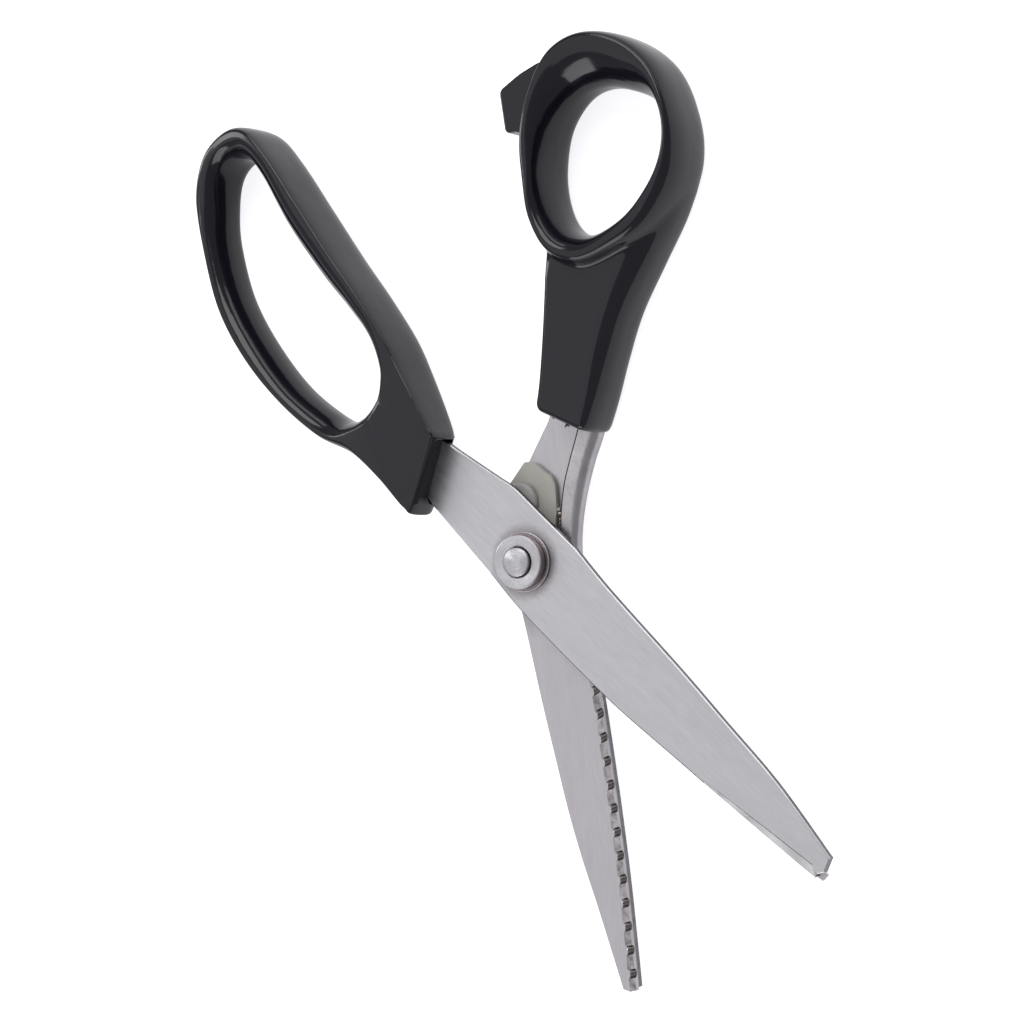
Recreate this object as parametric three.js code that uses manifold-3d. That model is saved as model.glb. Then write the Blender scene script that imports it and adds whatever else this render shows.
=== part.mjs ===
// Pinking shears with scalloped teeth: two steel levers that cross on a pivot bolt, each with a moulded handle.
//
// Millimetres, +Z up. The shears lie open on a table: Z = 0 is the table, the pivot axis is X = Y = 0, and the
// blades point towards -Y. Each lever is drawn in a frame of its own with its blade along -Y, and its group
// then turns about the pivot. The lower (thumb) lever lies nearest the table, the upper (finger) lever on it.

import * as THREE from 'three'
import { mergeVertices } from 'three/addons/utils/BufferGeometryUtils.js'
import Module from 'manifold-3d'

const wasm = await Module()
wasm.setup()

// ---- Driving dimensions ------------------------------------------------------------------------------------

const LOWER_TURN = 8                  // degrees, the lower lever's blade from -Y
const UPPER_TURN = 52                 // degrees, the upper lever's blade from -Y: the shears lie open

const BLADE_LENGTH = 101.5            // from the pivot to the end of a plate
const PLATE_THICKNESS = 1.8
const BAR_WIDTH = 1.8                 // toothed bar, across the blade
const BAR_THICKNESS = 1.3             // toothed bar, from its plate to its lands

const TOOTH_PITCH = 5.33
const LAST_TOOTH = 3.4                // from the end of the blade to the last tooth
const UPPER_BAR_START = 27            // from the pivot to the near end of the upper bar
const LOWER_BAR_START = 29
const BAR_OVERHANG = 0.5              // a bar ends this far beyond its plate
const GROOVE_RADIUS = 1.05            // half-round grooves in the lower bar
const RIDGE_RADIUS = 0.9              // half-round ridges on the upper bar

const SEAT_GAP = 0.1                  // between pieces that are pressed or welded together
const RUN_GAP = 0.15                  // between the lands of the two bars
const SIDE_GAP = 0.15                 // between a plate's edge and the bar beside it
const SLOT_GAP = 0.3                  // between a tang and the handle moulded round it

const BOLT_RADIUS = 3.4
const BOLT_HEAD_RADIUS = 7
const BOLT_HEAD_HEIGHT = 1.9
const BUSHING_WALL = 0.9
const NUT_RADIUS = 6.35
const NUT_HEIGHT = 2.6
const WASHER_RADIUS = 7.1
const WASHER_THICKNESS = 0.6
const SPRING_RADIUS = 6
const SPRING_THICKNESS = 0.5
const SPACER_RADIUS = 7

const PAD_THICKNESS = 1.3
const BUTTON_RADIUS = 4.6
const BUTTON_AT = [-0.6, 14.3]        // in the lower lever's frame

const HANDLE_HEIGHT = 18              // of both handles, from the table to the rim
const LOOP_BACK_HEIGHT = 14.4         // of the finger loop's outer bar, which is slimmer than its grip
const LOOP_BACK_BASE = 1.8            // and stands a little off the table
const MOUTH_BASE = 5.2                // underside of the finger handle where the blade goes in
const SHANK_HEIGHT = 14               // front face of the thumb handle's shank
const MOUTH_HEIGHT = 16.6             // front face of the finger handle where the blade goes in
const HANDLE_WALL = 2                 // round the mouths
const MOUTH_DEPTH = 1.5               // how far each mouth is hollowed back from its rim

// ---- Levels in the stack, from the table up ------------------------------------------------------------------

const LOWER_PLATE_Z = BOLT_HEAD_HEIGHT + SPRING_THICKNESS + 2 * SEAT_GAP
const LOWER_BAR_Z = LOWER_PLATE_Z + PLATE_THICKNESS + SEAT_GAP
const LOWER_LAND_Z = LOWER_BAR_Z + BAR_THICKNESS
const UPPER_LAND_Z = LOWER_LAND_Z + RUN_GAP
const UPPER_PLATE_Z = UPPER_LAND_Z + BAR_THICKNESS + SEAT_GAP
const UPPER_FACE_Z = UPPER_PLATE_Z + PLATE_THICKNESS

// ---- Colours and finishes ------------------------------------------------------------------------------------

const finish = (color, roughness, metalness) => new THREE.MeshStandardMaterial({ color, roughness, metalness })

const brushedSteel = () => finish(0xc3c1c4, 0.35, 1)
const groundSteel = () => finish(0xb2b0b4, 0.3, 1)
const turnedSteel = () => finish(0xcbcacd, 0.25, 1)
const blackPlastic = () => finish(0x151518, 0.15, 0)
const nylon = () => finish(0xb4b2a6, 0.5, 0)

// ---- Solids --------------------------------------------------------------------------------------------------

function toManifold(geometry) {
  const bare = geometry.index ? geometry.toNonIndexed() : geometry.clone()
  bare.deleteAttribute('normal')
  bare.deleteAttribute('uv')
  const merged = mergeVertices(bare, 1e-4)
  return new wasm.Manifold(new wasm.Mesh({
    numProp: 3,
    vertProperties: new Float32Array(merged.attributes.position.array),
    triVerts: new Uint32Array(merged.index.array),
  }))
}

function toGeometry(manifold) {
  const mesh = manifold.getMesh()
  const geometry = new THREE.BufferGeometry()
  geometry.setAttribute('position', new THREE.BufferAttribute(new Float32Array(mesh.vertProperties), 3))
  geometry.setIndex(new THREE.BufferAttribute(new Uint32Array(mesh.triVerts), 1))
  geometry.computeVertexNormals()
  return geometry
}

function cut(body, ...tools) {
  return toGeometry(tools.map(toManifold).reduce((rest, tool) => rest.subtract(tool), toManifold(body)))
}

function join(...bodies) {
  return toGeometry(bodies.map(toManifold).reduce((whole, body) => whole.add(body)))
}

// Turns a closed body's faces outwards: the signed volume of a body whose faces point in is negative.
function outward(geometry) {
  const at = (vertex) => new THREE.Vector3().fromBufferAttribute(geometry.attributes.position, vertex)
  const index = Array.from(geometry.index.array)
  let volume = 0
  for (let i = 0; i < index.length; i += 3) {
    volume += at(index[i]).dot(at(index[i + 1]).cross(at(index[i + 2])))
  }
  if (volume < 0) geometry.setIndex(index.reverse())
  return geometry
}

// A flat plate: an outline of [x, y] points between two levels.
function slab(outline, bottom, top) {
  const shape = new THREE.Shape(outline.map(([x, y]) => new THREE.Vector2(x, y)))
  const geometry = new THREE.ExtrudeGeometry(shape, { depth: top - bottom, bevelEnabled: false })
  return geometry.translate(0, 0, bottom)
}

// A turned piece about the Z axis, from a profile of [radius, z] points.
function turned(profile, segments = 40) {
  const geometry = new THREE.LatheGeometry(profile.map(([r, z]) => new THREE.Vector2(r, z)), segments)
  return outward(geometry.rotateX(Math.PI / 2))
}

const disc = (radius, bottom, top) => turned([[0, bottom], [radius, bottom], [radius, top], [0, top]])

// A flat ring with small bevels on its two outer edges.
function ring(inner, outer, bottom, top, bevel) {
  return turned([
    [inner, bottom],
    [outer - bevel, bottom],
    [outer, bottom + bevel],
    [outer, top - bevel],
    [outer - bevel, top],
    [inner, top],
    [inner, bottom],
  ])
}

// Joins closed sections, all with the same number of points, into one body. A loop of sections closes on
// itself; otherwise both ends are capped.
function loft(sections, closed) {
  const count = sections[0].length
  const positions = sections.flat().flatMap((p) => [p.x, p.y, p.z])
  const index = []
  const spans = closed ? sections.length : sections.length - 1
  for (let i = 0; i < spans; i += 1) {
    const here = i * count
    const next = ((i + 1) % sections.length) * count
    for (let j = 0; j < count; j += 1) {
      const k = (j + 1) % count
      index.push(here + j, next + j, next + k)
      index.push(here + j, next + k, here + k)
    }
  }
  if (!closed) {
    const last = (sections.length - 1) * count
    for (let j = 1; j < count - 1; j += 1) {
      index.push(0, j, j + 1)
      index.push(last, last + j + 1, last + j)
    }
  }
  const geometry = new THREE.BufferGeometry()
  geometry.setAttribute('position', new THREE.BufferAttribute(new Float32Array(positions), 3))
  geometry.setIndex(index)
  return outward(geometry)
}

// ---- Curves --------------------------------------------------------------------------------------------------

const spline = (points) => new THREE.SplineCurve(points.map(([x, y]) => new THREE.Vector2(x, y)))
const shifted = (points, dx) => points.map(([x, y]) => [x + dx, y])
const sampled = (points, count) => spline(points).getPoints(count).map((p) => [p.x, p.y])

// Where a blade's edge crosses a circle about the pivot. The edge runs outwards from its first point.
function atRadius(edge, radius) {
  let near = 0
  let far = 1
  for (let step = 0; step < 30; step += 1) {
    const middle = (near + far) / 2
    if (edge.getPoint(middle).length() < radius) near = middle
    else far = middle
  }
  return edge.getPoint((near + far) / 2)
}

// ---- Toothed bars --------------------------------------------------------------------------------------------

const BAR_END = BLADE_LENGTH + BAR_OVERHANG
const END_TOOTH = BLADE_LENGTH - LAST_TOOTH
const TOOTH_COUNT = 1 + Math.floor((END_TOOTH - LOWER_BAR_START - GROOVE_RADIUS) / TOOTH_PITCH)
const HALF_ROUND = [-1, -0.87, -0.5, 0, 0.5, 0.87, 1]

// Points down a blade, from [x, share of the blade's length].
const downBlade = (points) => points.map(([x, share]) => [x, -share * BLADE_LENGTH])

// Distances from the pivot where the tooth profile has a corner, with the height of the tooth there.
function toothStations(start, end, toothSize) {
  const stations = [[start, 0]]
  for (let tooth = TOOTH_COUNT - 1; tooth >= 0; tooth -= 1) {
    for (const across of HALF_ROUND) {
      const height = toothSize * Math.sqrt(1 - across * across)
      stations.push([END_TOOTH - tooth * TOOTH_PITCH + across * toothSize, height])
    }
  }
  stations.push([end, 0])
  return stations
}

// A bar along a blade's edge. Its teeth run along arcs about the pivot, so they mesh wherever the blades
// cross. heights(tooth) gives the bar's bottom and top where the teeth stand that high.
function toothedBar(outer, inner, start, end, toothSize, heights) {
  const acrossSteps = [0, 0.5, 1]
  const sections = toothStations(start, end, toothSize).map(([radius, tooth]) => {
    const [bottom, top] = heights(tooth)
    const a = atRadius(outer, radius).angle()
    const b = atRadius(inner, radius).angle()
    const arc = acrossSteps.map((t) => {
      const angle = a + (b - a) * t
      return new THREE.Vector2(radius * Math.cos(angle), radius * Math.sin(angle))
    })
    const low = arc.map((p) => new THREE.Vector3(p.x, p.y, bottom))
    const high = arc.map((p) => new THREE.Vector3(p.x, p.y, top)).reverse()
    return [...low, ...high]
  })
  return loft(sections, false)
}

// ---- Upper lever: plate and bar ------------------------------------------------------------------------------

const UPPER_EDGE = [[-7.9, 5.7], [-9.7, -8], ...downBlade([[-10.9, 0.36], [-10.2, 0.59], [-9.3, 0.83], [-8.3, 1.03]])]
const UPPER_SPINE = [[10.9, -8.9], ...downBlade([[8.9, 0.216], [6.3, 0.46], [4.3, 0.616], [1.9, 0.797], [-2.5, 0.991]])]
const UPPER_TANG = [[9.4, 31], [8.6, 40], [7, 46.5], [0.5, 46.5], [-3.4, 38], [-5.2, 28.8]]

function upperBladePlate() {
  const edge = sampled(UPPER_EDGE, 24).filter(([x, y]) => Math.hypot(x, y) < BLADE_LENGTH - 0.4)
  const outline = [
    ...edge,
    [-7.4, -BLADE_LENGTH + 1.3],
    [-5.9, -BLADE_LENGTH + 0.1],
    [-3, -BLADE_LENGTH + 0.9],
    ...sampled(UPPER_SPINE, 16).reverse(),
    [11.9, 11.6],
    [11.9, 13.6],
    [11.3, 16.4],
    ...UPPER_TANG,
  ]
  const plate = slab(outline, UPPER_PLATE_Z, UPPER_FACE_Z)
  const bore = disc(BUSHING_RADIUS + SEAT_GAP, UPPER_PLATE_Z - 1, UPPER_FACE_Z + 1)
  return cut(plate, bore)
}

function upperToothedBar() {
  const outer = spline(UPPER_EDGE)
  const inner = spline(shifted(UPPER_EDGE, BAR_WIDTH))
  const top = UPPER_PLATE_Z - SEAT_GAP
  return toothedBar(outer, inner, UPPER_BAR_START, BAR_END, RIDGE_RADIUS, (tooth) => [UPPER_LAND_Z - tooth, top])
}

// ---- Lower lever: plate and bar ------------------------------------------------------------------------------

const LOWER_EDGE = [[13.1, -24], ...downBlade([[13.75, 0.337], [14.4, 0.54], [14.6, 0.74], [14.3, 0.905], [14, 1.03]])]
const LOWER_SPINE = [[-4.2, 18.8], [-8, 9.5], [-7.8, -1], [-5.4, -10.1],
  ...downBlade([[-2.7, 0.32], [-0.8, 0.46], [0.9, 0.58], [3, 0.69], [5.8, 0.81], [9.8, 0.994]])]
const LOWER_TANG = [[25.2, 60], [17, 60], [13.2, 42], [8.2, 32.2], [1.8, 23.7]]

// The rounded back of the lower lever: the bar leaves the blade, passes beside the pivot and runs up the neck
// into the handle. Each row is [inner x, inner y, outer x, outer y, underside].
const NECK_ROWS = [
  [11.5, 2.2 - LOWER_BAR_START, 13.3, 2.6 - LOWER_BAR_START, LOWER_PLATE_Z],
  [9.8, -15, 12.9, -14.5, 2.2],
  [8.9, -1, 12.5, -1.2, 1.7],
  [9.2, 7, 13.4, 6.2, 1.4],
  [11.1, 15.6, 15.5, 13.5, 1.1],
  [13.6, 21.8, 18.6, 21, 0.8],
  [16.4, 27.8, 21.6, 26.6, 0.7],
  [20.2, 37, 26, 36, 0.7],
  [22.2, 46, 27.8, 45.4, 0.7],
]
const NECK_ROUND = 0.5                // share of the neck's width that its rounded side takes

function neckSection([innerX, innerY, outerX, outerY, underside]) {
  const inner = new THREE.Vector2(innerX, innerY)
  const outer = new THREE.Vector2(outerX, outerY)
  const width = inner.distanceTo(outer)
  const middle = (underside + LOWER_LAND_Z) / 2
  const half = (LOWER_LAND_Z - underside) / 2
  const at = (reach, z) => {
    const p = inner.clone().lerp(outer, reach / width)
    return new THREE.Vector3(p.x, p.y, z)
  }
  const side = [-90, -60, -30, 0, 30, 60, 90].map((degrees) => {
    const angle = THREE.MathUtils.degToRad(degrees)
    return at(width - NECK_ROUND * width * (1 - Math.cos(angle)), middle + half * Math.sin(angle))
  })
  return [at(0, LOWER_LAND_Z), at(0, underside), ...side]
}

const neckInside = NECK_ROWS.map(([x, y]) => [x - SIDE_GAP, y])

function lowerToothedBar() {
  const outer = spline(LOWER_EDGE)
  const inner = spline(shifted(LOWER_EDGE, -BAR_WIDTH))
  const blade = toothedBar(inner, outer, LOWER_BAR_START, BAR_END, GROOVE_RADIUS,
    (tooth) => [LOWER_BAR_Z, LOWER_LAND_Z - tooth])
  return join(blade, loft(NECK_ROWS.map(neckSection), false))
}

function lowerBladePlate() {
  const edge = sampled(LOWER_EDGE, 24).filter(([x, y]) => y < neckInside[0][1] - 2 && Math.hypot(x, y) < BLADE_LENGTH)
  const outline = [
    ...LOWER_TANG,
    ...sampled(LOWER_SPINE, 32),
    [11.6, -BLADE_LENGTH],
    ...edge.reverse(),
    [neckInside[0][0], neckInside[0][1] - 1.2],
    ...neckInside,
  ]
  const plate = slab(outline, LOWER_PLATE_Z, LOWER_PLATE_Z + PLATE_THICKNESS)
  const bore = disc(BUSHING_RADIUS + SEAT_GAP, LOWER_PLATE_Z - 1, LOWER_BAR_Z)
  const stemHole = disc(BUTTON_STEM_RADIUS + SEAT_GAP, LOWER_PLATE_Z - 1, LOWER_BAR_Z).translate(...BUTTON_AT, 0)
  return cut(plate, bore, stemHole)
}

// ---- Pivot ---------------------------------------------------------------------------------------------------

const BUSHING_RADIUS = BOLT_RADIUS + SEAT_GAP + BUSHING_WALL
const WASHER_Z = UPPER_FACE_Z + SEAT_GAP
const NUT_Z = WASHER_Z + WASHER_THICKNESS + SEAT_GAP
const BOLT_END_Z = NUT_Z + NUT_HEIGHT + 0.5
const BEVEL = 0.35

function pivotBolt() {
  return turned([
    [0, 0],
    [BOLT_HEAD_RADIUS - BEVEL, 0],
    [BOLT_HEAD_RADIUS, BEVEL],
    [BOLT_HEAD_RADIUS, BOLT_HEAD_HEIGHT],
    [BOLT_RADIUS, BOLT_HEAD_HEIGHT],
    [BOLT_RADIUS, BOLT_END_Z - BEVEL],
    [BOLT_RADIUS - BEVEL, BOLT_END_Z],
    [0, BOLT_END_Z + 0.1],
  ])
}

const springWasher = () => ring(BOLT_RADIUS + SEAT_GAP, SPRING_RADIUS, BOLT_HEAD_HEIGHT + SEAT_GAP,
  LOWER_PLATE_Z - SEAT_GAP, 0.1)
const pivotBushing = () => ring(BOLT_RADIUS + SEAT_GAP, BUSHING_RADIUS, LOWER_PLATE_Z, UPPER_FACE_Z, 0.1)
const pivotSpacer = () => ring(BUSHING_RADIUS + SEAT_GAP, SPACER_RADIUS, LOWER_BAR_Z, UPPER_PLATE_Z - SEAT_GAP, 0.2)
const nutWasher = () => ring(BOLT_RADIUS + SEAT_GAP, WASHER_RADIUS, WASHER_Z, WASHER_Z + WASHER_THICKNESS, 0.2)
const pivotNut = () => ring(BOLT_RADIUS + 2 * SEAT_GAP, NUT_RADIUS, NUT_Z, NUT_Z + NUT_HEIGHT, BEVEL)

// ---- Ride pad ------------------------------------------------------------------------------------------------

const BUTTON_STEM_RADIUS = 2
const PAD_REACH = SPACER_RADIUS + 1.2 // radius of the pad's hollow end, which goes round the spacer

function ridePad() {
  const hollow = [35, 60, 85, 110, 135, 160].map((degrees) => {
    const angle = THREE.MathUtils.degToRad(degrees)
    return [PAD_REACH * Math.cos(angle), PAD_REACH * Math.sin(angle)]
  })
  const outline = [...hollow, [-7.9, 9.6], [-4.4, 18.2], [1.2, 23.6], [4.1, 22.9], [8.1, 19.1], [8.9, 17.1], [8.5, 11]]
  const pad = slab(outline, LOWER_BAR_Z, LOWER_BAR_Z + PAD_THICKNESS)
  const stemHole = disc(BUTTON_STEM_RADIUS + SEAT_GAP, LOWER_BAR_Z - 1, LOWER_BAR_Z + PAD_THICKNESS + 1)
  return cut(pad, stemHole.translate(...BUTTON_AT, 0))
}

function rideButton() {
  const seat = LOWER_BAR_Z + PAD_THICKNESS + SEAT_GAP
  const top = UPPER_PLATE_Z - SEAT_GAP
  const button = turned([
    [0, LOWER_PLATE_Z],
    [BUTTON_STEM_RADIUS, LOWER_PLATE_Z],
    [BUTTON_STEM_RADIUS, seat],
    [BUTTON_RADIUS, seat],
    [BUTTON_RADIUS, top - BEVEL],
    [BUTTON_RADIUS - BEVEL, top],
    [0, top],
  ], 36)
  return button.translate(...BUTTON_AT, 0)
}

// ---- Handles -------------------------------------------------------------------------------------------------

const QUARTER = [0, 22.5, 45, 67.5].map(THREE.MathUtils.degToRad)
const FULLNESS = 0.8                  // 1 is a plain ellipse; less is squarer
const CREST = 0.4                     // the least flat left between two roundings
const UNDER_ROUND = 2.5               // rounding of the back, which is flatter because it lies on the table
const WIDEST_AT = 0.45                // share of the height where a section is widest

// One cross-section of a handle, from its inner edge to its outer edge in plan. Each side of the front is
// rounded over a width of its own, and what is left between the two roundings is flat.
function handleSection({ inner, outer, base, top, roundIn, roundOut }) {
  const width = inner.distanceTo(outer)
  const fit = Math.min(1, (width - CREST) / (roundIn + roundOut))
  const under = Math.min(UNDER_ROUND, (width - CREST) / 2)
  const middle = base + (top - base) * WIDEST_AT
  const at = (reach, z) => {
    const p = inner.clone().lerp(outer, reach / width)
    return new THREE.Vector3(p.x, p.y, z)
  }
  const corner = (round, height, mirrored) => QUARTER.map((angle) => {
    const reach = round * (1 - Math.cos(angle) ** FULLNESS)
    return at(mirrored ? width - reach : reach, middle + height * Math.sin(angle) ** FULLNESS)
  })
  const frontOut = corner(roundOut * fit, top - middle, true)
  const frontIn = corner(roundIn * fit, top - middle, false)
  const backIn = corner(under, base - middle, false)
  const backOut = corner(under, base - middle, true)
  const frontEdge = [at(width - roundOut * fit, top), at(roundIn * fit, top)]
  const backEdge = [at(under, base), at(width - under, base)]
  return [
    ...frontOut,
    ...frontEdge,
    ...frontIn.reverse(),
    ...backIn.slice(1),
    ...backEdge,
    ...backOut.slice(1).reverse(),
  ]
}

// Runs smooth curves through a handle's stations and cuts sections at even steps. A station is
// [outer x, outer y, inner x, inner y, base, top, inner rounding, outer rounding].
function handleSections(stations, steps, closed) {
  const curve = (pick) => new THREE.CatmullRomCurve3(stations.map(pick), closed, 'catmullrom', 0.5)
  const outer = curve(([x, y, , , , top]) => new THREE.Vector3(x, y, top))
  const inner = curve(([, , x, y, base]) => new THREE.Vector3(x, y, base))
  const rounds = curve(([, , , , , , roundIn, roundOut]) => new THREE.Vector3(roundIn, roundOut, 0))
  const count = closed ? steps : steps + 1
  return Array.from({ length: count }, (_, i) => {
    const o = outer.getPoint(i / steps)
    const n = inner.getPoint(i / steps)
    const r = rounds.getPoint(i / steps)
    return handleSection({
      outer: new THREE.Vector2(o.x, o.y),
      inner: new THREE.Vector2(n.x, n.y),
      base: n.z,
      top: o.z,
      roundIn: r.x,
      roundOut: r.y,
    })
  })
}

const FINGER_STATIONS = [
  [10.6, 34.4, 7.6, 54.6, MOUTH_BASE, MOUTH_HEIGHT, 3, 1],
  [12.2, 38.4, 10.4, 56, 3.6, MOUTH_HEIGHT, 3, 1],
  [16.4, 48.6, 13.6, 59.2, 1.2, MOUTH_HEIGHT + 0.4, 4, 1],
  [21.2, 59.6, 16.6, 65.4, 0, HANDLE_HEIGHT - 0.4, 5, 1],
  [25.1, 72.1, 18.4, 74.5, 0, HANDLE_HEIGHT, 6, 1],
  [28.2, 85, 20, 86, 0, HANDLE_HEIGHT, 7, 1],
  [32.4, 100.5, 23.6, 101.4, 0, HANDLE_HEIGHT, 7, 1],
  [36.4, 115.6, 28.8, 115, 0, HANDLE_HEIGHT, 6, 1],
  [37.4, 125.6, 30.2, 122.4, 0, HANDLE_HEIGHT - 0.4, 5, 1.4],
  [32.8, 131.6, 27.4, 126.4, 0.6, HANDLE_HEIGHT - 1.4, 4, 2],
  [23.6, 134.2, 22.2, 126.8, 1.2, HANDLE_HEIGHT - 2.6, 4, 2.4],
  [13, 130.2, 16.2, 123, LOOP_BACK_BASE, LOOP_BACK_HEIGHT, 4, 2.8],
  [4, 119, 9.2, 116.6, LOOP_BACK_BASE, LOOP_BACK_HEIGHT, 4, 3],
  [-4.7, 106, 1.4, 105.2, LOOP_BACK_BASE, LOOP_BACK_HEIGHT, 4, 3],
  [-9.6, 92, -3.4, 91.4, LOOP_BACK_BASE, LOOP_BACK_HEIGHT, 4, 3],
  [-11.6, 77, -5.8, 76.6, LOOP_BACK_BASE, LOOP_BACK_HEIGHT, 4, 3],
  [-11, 62.5, -4.6, 62.6, LOOP_BACK_BASE + 0.6, LOOP_BACK_HEIGHT + 0.4, 4, 3],
  [-7.8, 51, -1.8, 57, 3.4, MOUTH_HEIGHT - 0.6, 3, 2.4],
  [-7.2, 40, 1.6, 54.8, 4.4, MOUTH_HEIGHT, 3, 1.6],
  [-8.1, 30, 3.6, 54.3, MOUTH_BASE, MOUTH_HEIGHT, 3, 1],
  [-6.4, 28.6, 4.8, 54.2, MOUTH_BASE, MOUTH_HEIGHT, 3, 1],
  [8.8, 33.6, 6.4, 54.4, MOUTH_BASE, MOUTH_HEIGHT, 3, 1],
]

const THUMB_STATIONS = [
  [15.4, 88, 20.6, 87.4, 0, HANDLE_HEIGHT, 2.4, 2],
  [16.4, 97.6, 22.8, 96.6, 0, HANDLE_HEIGHT, 4, 1.6],
  [20.4, 107.4, 26.6, 102, 0, HANDLE_HEIGHT, 6.4, 1.4],
  [26.8, 115.2, 31.4, 105, 0, HANDLE_HEIGHT, 9.6, 1.4],
  [35.4, 117.7, 37.2, 105.2, 0, HANDLE_HEIGHT, 10.6, 1.6],
  [44.8, 114.9, 43.6, 102.8, 0, HANDLE_HEIGHT, 9, 2.2],
  [52, 108.4, 49.2, 99.2, 0, HANDLE_HEIGHT, 6, 3],
  [55.7, 99.2, 52.4, 94.2, 0, HANDLE_HEIGHT, 3, 3.6],
  [56.7, 88.5, 52.2, 88.2, 0, HANDLE_HEIGHT, 1.8, 3.6],
  [54, 78.8, 49.2, 82, 0, HANDLE_HEIGHT, 1.6, 3.8],
  [46.4, 70, 43, 75.6, 0, HANDLE_HEIGHT, 1.6, 3.6],
  [37, 66, 36, 72.8, 0, HANDLE_HEIGHT, 2, 2.8],
  [27.4, 64.6, 29.4, 72, 0, HANDLE_HEIGHT, 2.4, 2.8],
  [19.8, 69, 24, 74.6, 0, HANDLE_HEIGHT, 2.4, 2.4],
  [16.2, 77.8, 21.2, 80, 0, HANDLE_HEIGHT, 2.4, 2],
]

const SHANK_STATIONS = [
  [23, 26.6, 10, 34.4, 0, SHANK_HEIGHT, 1, 2.4],
  [26.8, 34, 11.6, 39.6, 0, SHANK_HEIGHT, 1, 3.4],
  [31, 43.4, 13.2, 46.4, 0, SHANK_HEIGHT, 1, 4.8],
  [36, 53.2, 14.8, 54, 0, SHANK_HEIGHT, 1, 6],
  [43.2, 63.2, 16.4, 62.4, 0, SHANK_HEIGHT, 1, 8.6],
  [49.6, 71.6, 17.6, 69, 0, SHANK_HEIGHT, 1, 10],
  [54, 79, 19.4, 76, 0, SHANK_HEIGHT, 1, 10],
]

const SPUR_OUTLINE = [[9.5, 110.3], [9.8, 99.9], [12.8, 99.8], [17, 97], [23, 104], [26, 110], [25.4, 114.4],
  [21, 114.6], [15.6, 113.1]]
const SPUR_BASE = 2
const SPUR_TOP = 11
const FINGER_RECESS = [[-6, 27], [10.4, 32.5], [10, 36], [9, 34 + MOUTH_DEPTH], [-4.6, 29 + MOUTH_DEPTH]]
const THUMB_RECESS = [[12.4, 36.4], [11, 33], [20.8, 26.6], [23, 31], [20, 31 + MOUTH_DEPTH], [14, 34 + MOUTH_DEPTH]]
const UNDER_SLOT = 0.4                // the neck's slot comes this near to the back of the shank

const RING_STEPS = 60
const SHANK_STEPS = 12

// Where a tang goes in: a short wide recess, then a slot that follows the tang.
function fingerMouth() {
  const wide = slab(FINGER_RECESS, MOUTH_BASE + HANDLE_WALL, MOUTH_HEIGHT - HANDLE_WALL)
  const outline = [[14, 26], ...widened(UPPER_TANG), [-8, 24]]
  return [wide, slab(outline, UPPER_PLATE_Z - SLOT_GAP, UPPER_FACE_Z + SLOT_GAP)]
}

function thumbMouth() {
  const wide = slab(THUMB_RECESS, HANDLE_WALL, SHANK_HEIGHT - HANDLE_WALL)
  const neck = NECK_ROWS.slice(-3).map(([, , x, y]) => [x + SLOT_GAP, y])
  const tang = LOWER_TANG.map(([x, y], i) => [x + (i === 0 ? 1 : -2) * SLOT_GAP, y + SLOT_GAP])
  return [wide, slab([[24, 20], ...neck, ...tang], UNDER_SLOT, LOWER_LAND_Z + SLOT_GAP)]
}

// Moves each point of a tang outwards from the tang's middle, so that the slot clears it all round.
function widened(outline) {
  const middle = outline.reduce(([sx, sy], [x, y]) => [sx + x / outline.length, sy + y / outline.length], [0, 0])
  return outline.map(([x, y]) => {
    const away = new THREE.Vector2(x - middle[0], y - middle[1])
    away.setLength(away.length() + 2 * SLOT_GAP)
    return [middle[0] + away.x, middle[1] + away.y]
  })
}

function fingerHandle() {
  const body = loft(handleSections(FINGER_STATIONS, RING_STEPS, true), true)
  return cut(body, ...fingerMouth())
}

// The thumb hole's outline, a quarter of the way into the ring's thickness.
const thumbHoleOutline = THUMB_STATIONS.map(([outerX, outerY, innerX, innerY]) => [
  innerX + (outerX - innerX) / 4,
  innerY + (outerY - innerY) / 4,
])

function thumbHandle() {
  const hole = slab(thumbHoleOutline, -1, HANDLE_HEIGHT + 1)
  const ringBody = loft(handleSections(THUMB_STATIONS, RING_STEPS, true), true)
  const shank = loft(handleSections(SHANK_STATIONS, SHANK_STEPS, false), false)
  const spur = slab(SPUR_OUTLINE, SPUR_BASE, SPUR_TOP)
  return cut(join(ringBody, cut(shank, hole), cut(spur, hole)), ...thumbMouth())
}

// ---- Assembly ------------------------------------------------------------------------------------------------

function piece(name, geometry, material) {
  const mesh = new THREE.Mesh(geometry, material)
  mesh.name = name
  return mesh
}

const lowerLever = new THREE.Group()
lowerLever.rotation.z = THREE.MathUtils.degToRad(LOWER_TURN)
lowerLever.add(
  piece('lower_blade_plate', lowerBladePlate(), brushedSteel()),
  piece('lower_toothed_bar', lowerToothedBar(), groundSteel()),
  piece('thumb_handle', thumbHandle(), blackPlastic()),
  piece('ride_pad', ridePad(), nylon()),
  piece('ride_button', rideButton(), nylon()),
)

const upperLever = new THREE.Group()
upperLever.rotation.z = THREE.MathUtils.degToRad(UPPER_TURN)
upperLever.add(
  piece('upper_blade_plate', upperBladePlate(), brushedSteel()),
  piece('upper_toothed_bar', upperToothedBar(), groundSteel()),
  piece('finger_handle', fingerHandle(), blackPlastic()),
)

const pivot = new THREE.Group()
pivot.add(
  piece('pivot_bolt', pivotBolt(), turnedSteel()),
  piece('spring_washer', springWasher(), groundSteel()),
  piece('pivot_bushing', pivotBushing(), groundSteel()),
  piece('pivot_spacer', pivotSpacer(), groundSteel()),
  piece('nut_washer', nutWasher(), turnedSteel()),
  piece('pivot_nut', pivotNut(), turnedSteel()),
)

const shears = new THREE.Group()
shears.add(lowerLever, upperLever, pivot)

export default shears
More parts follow.
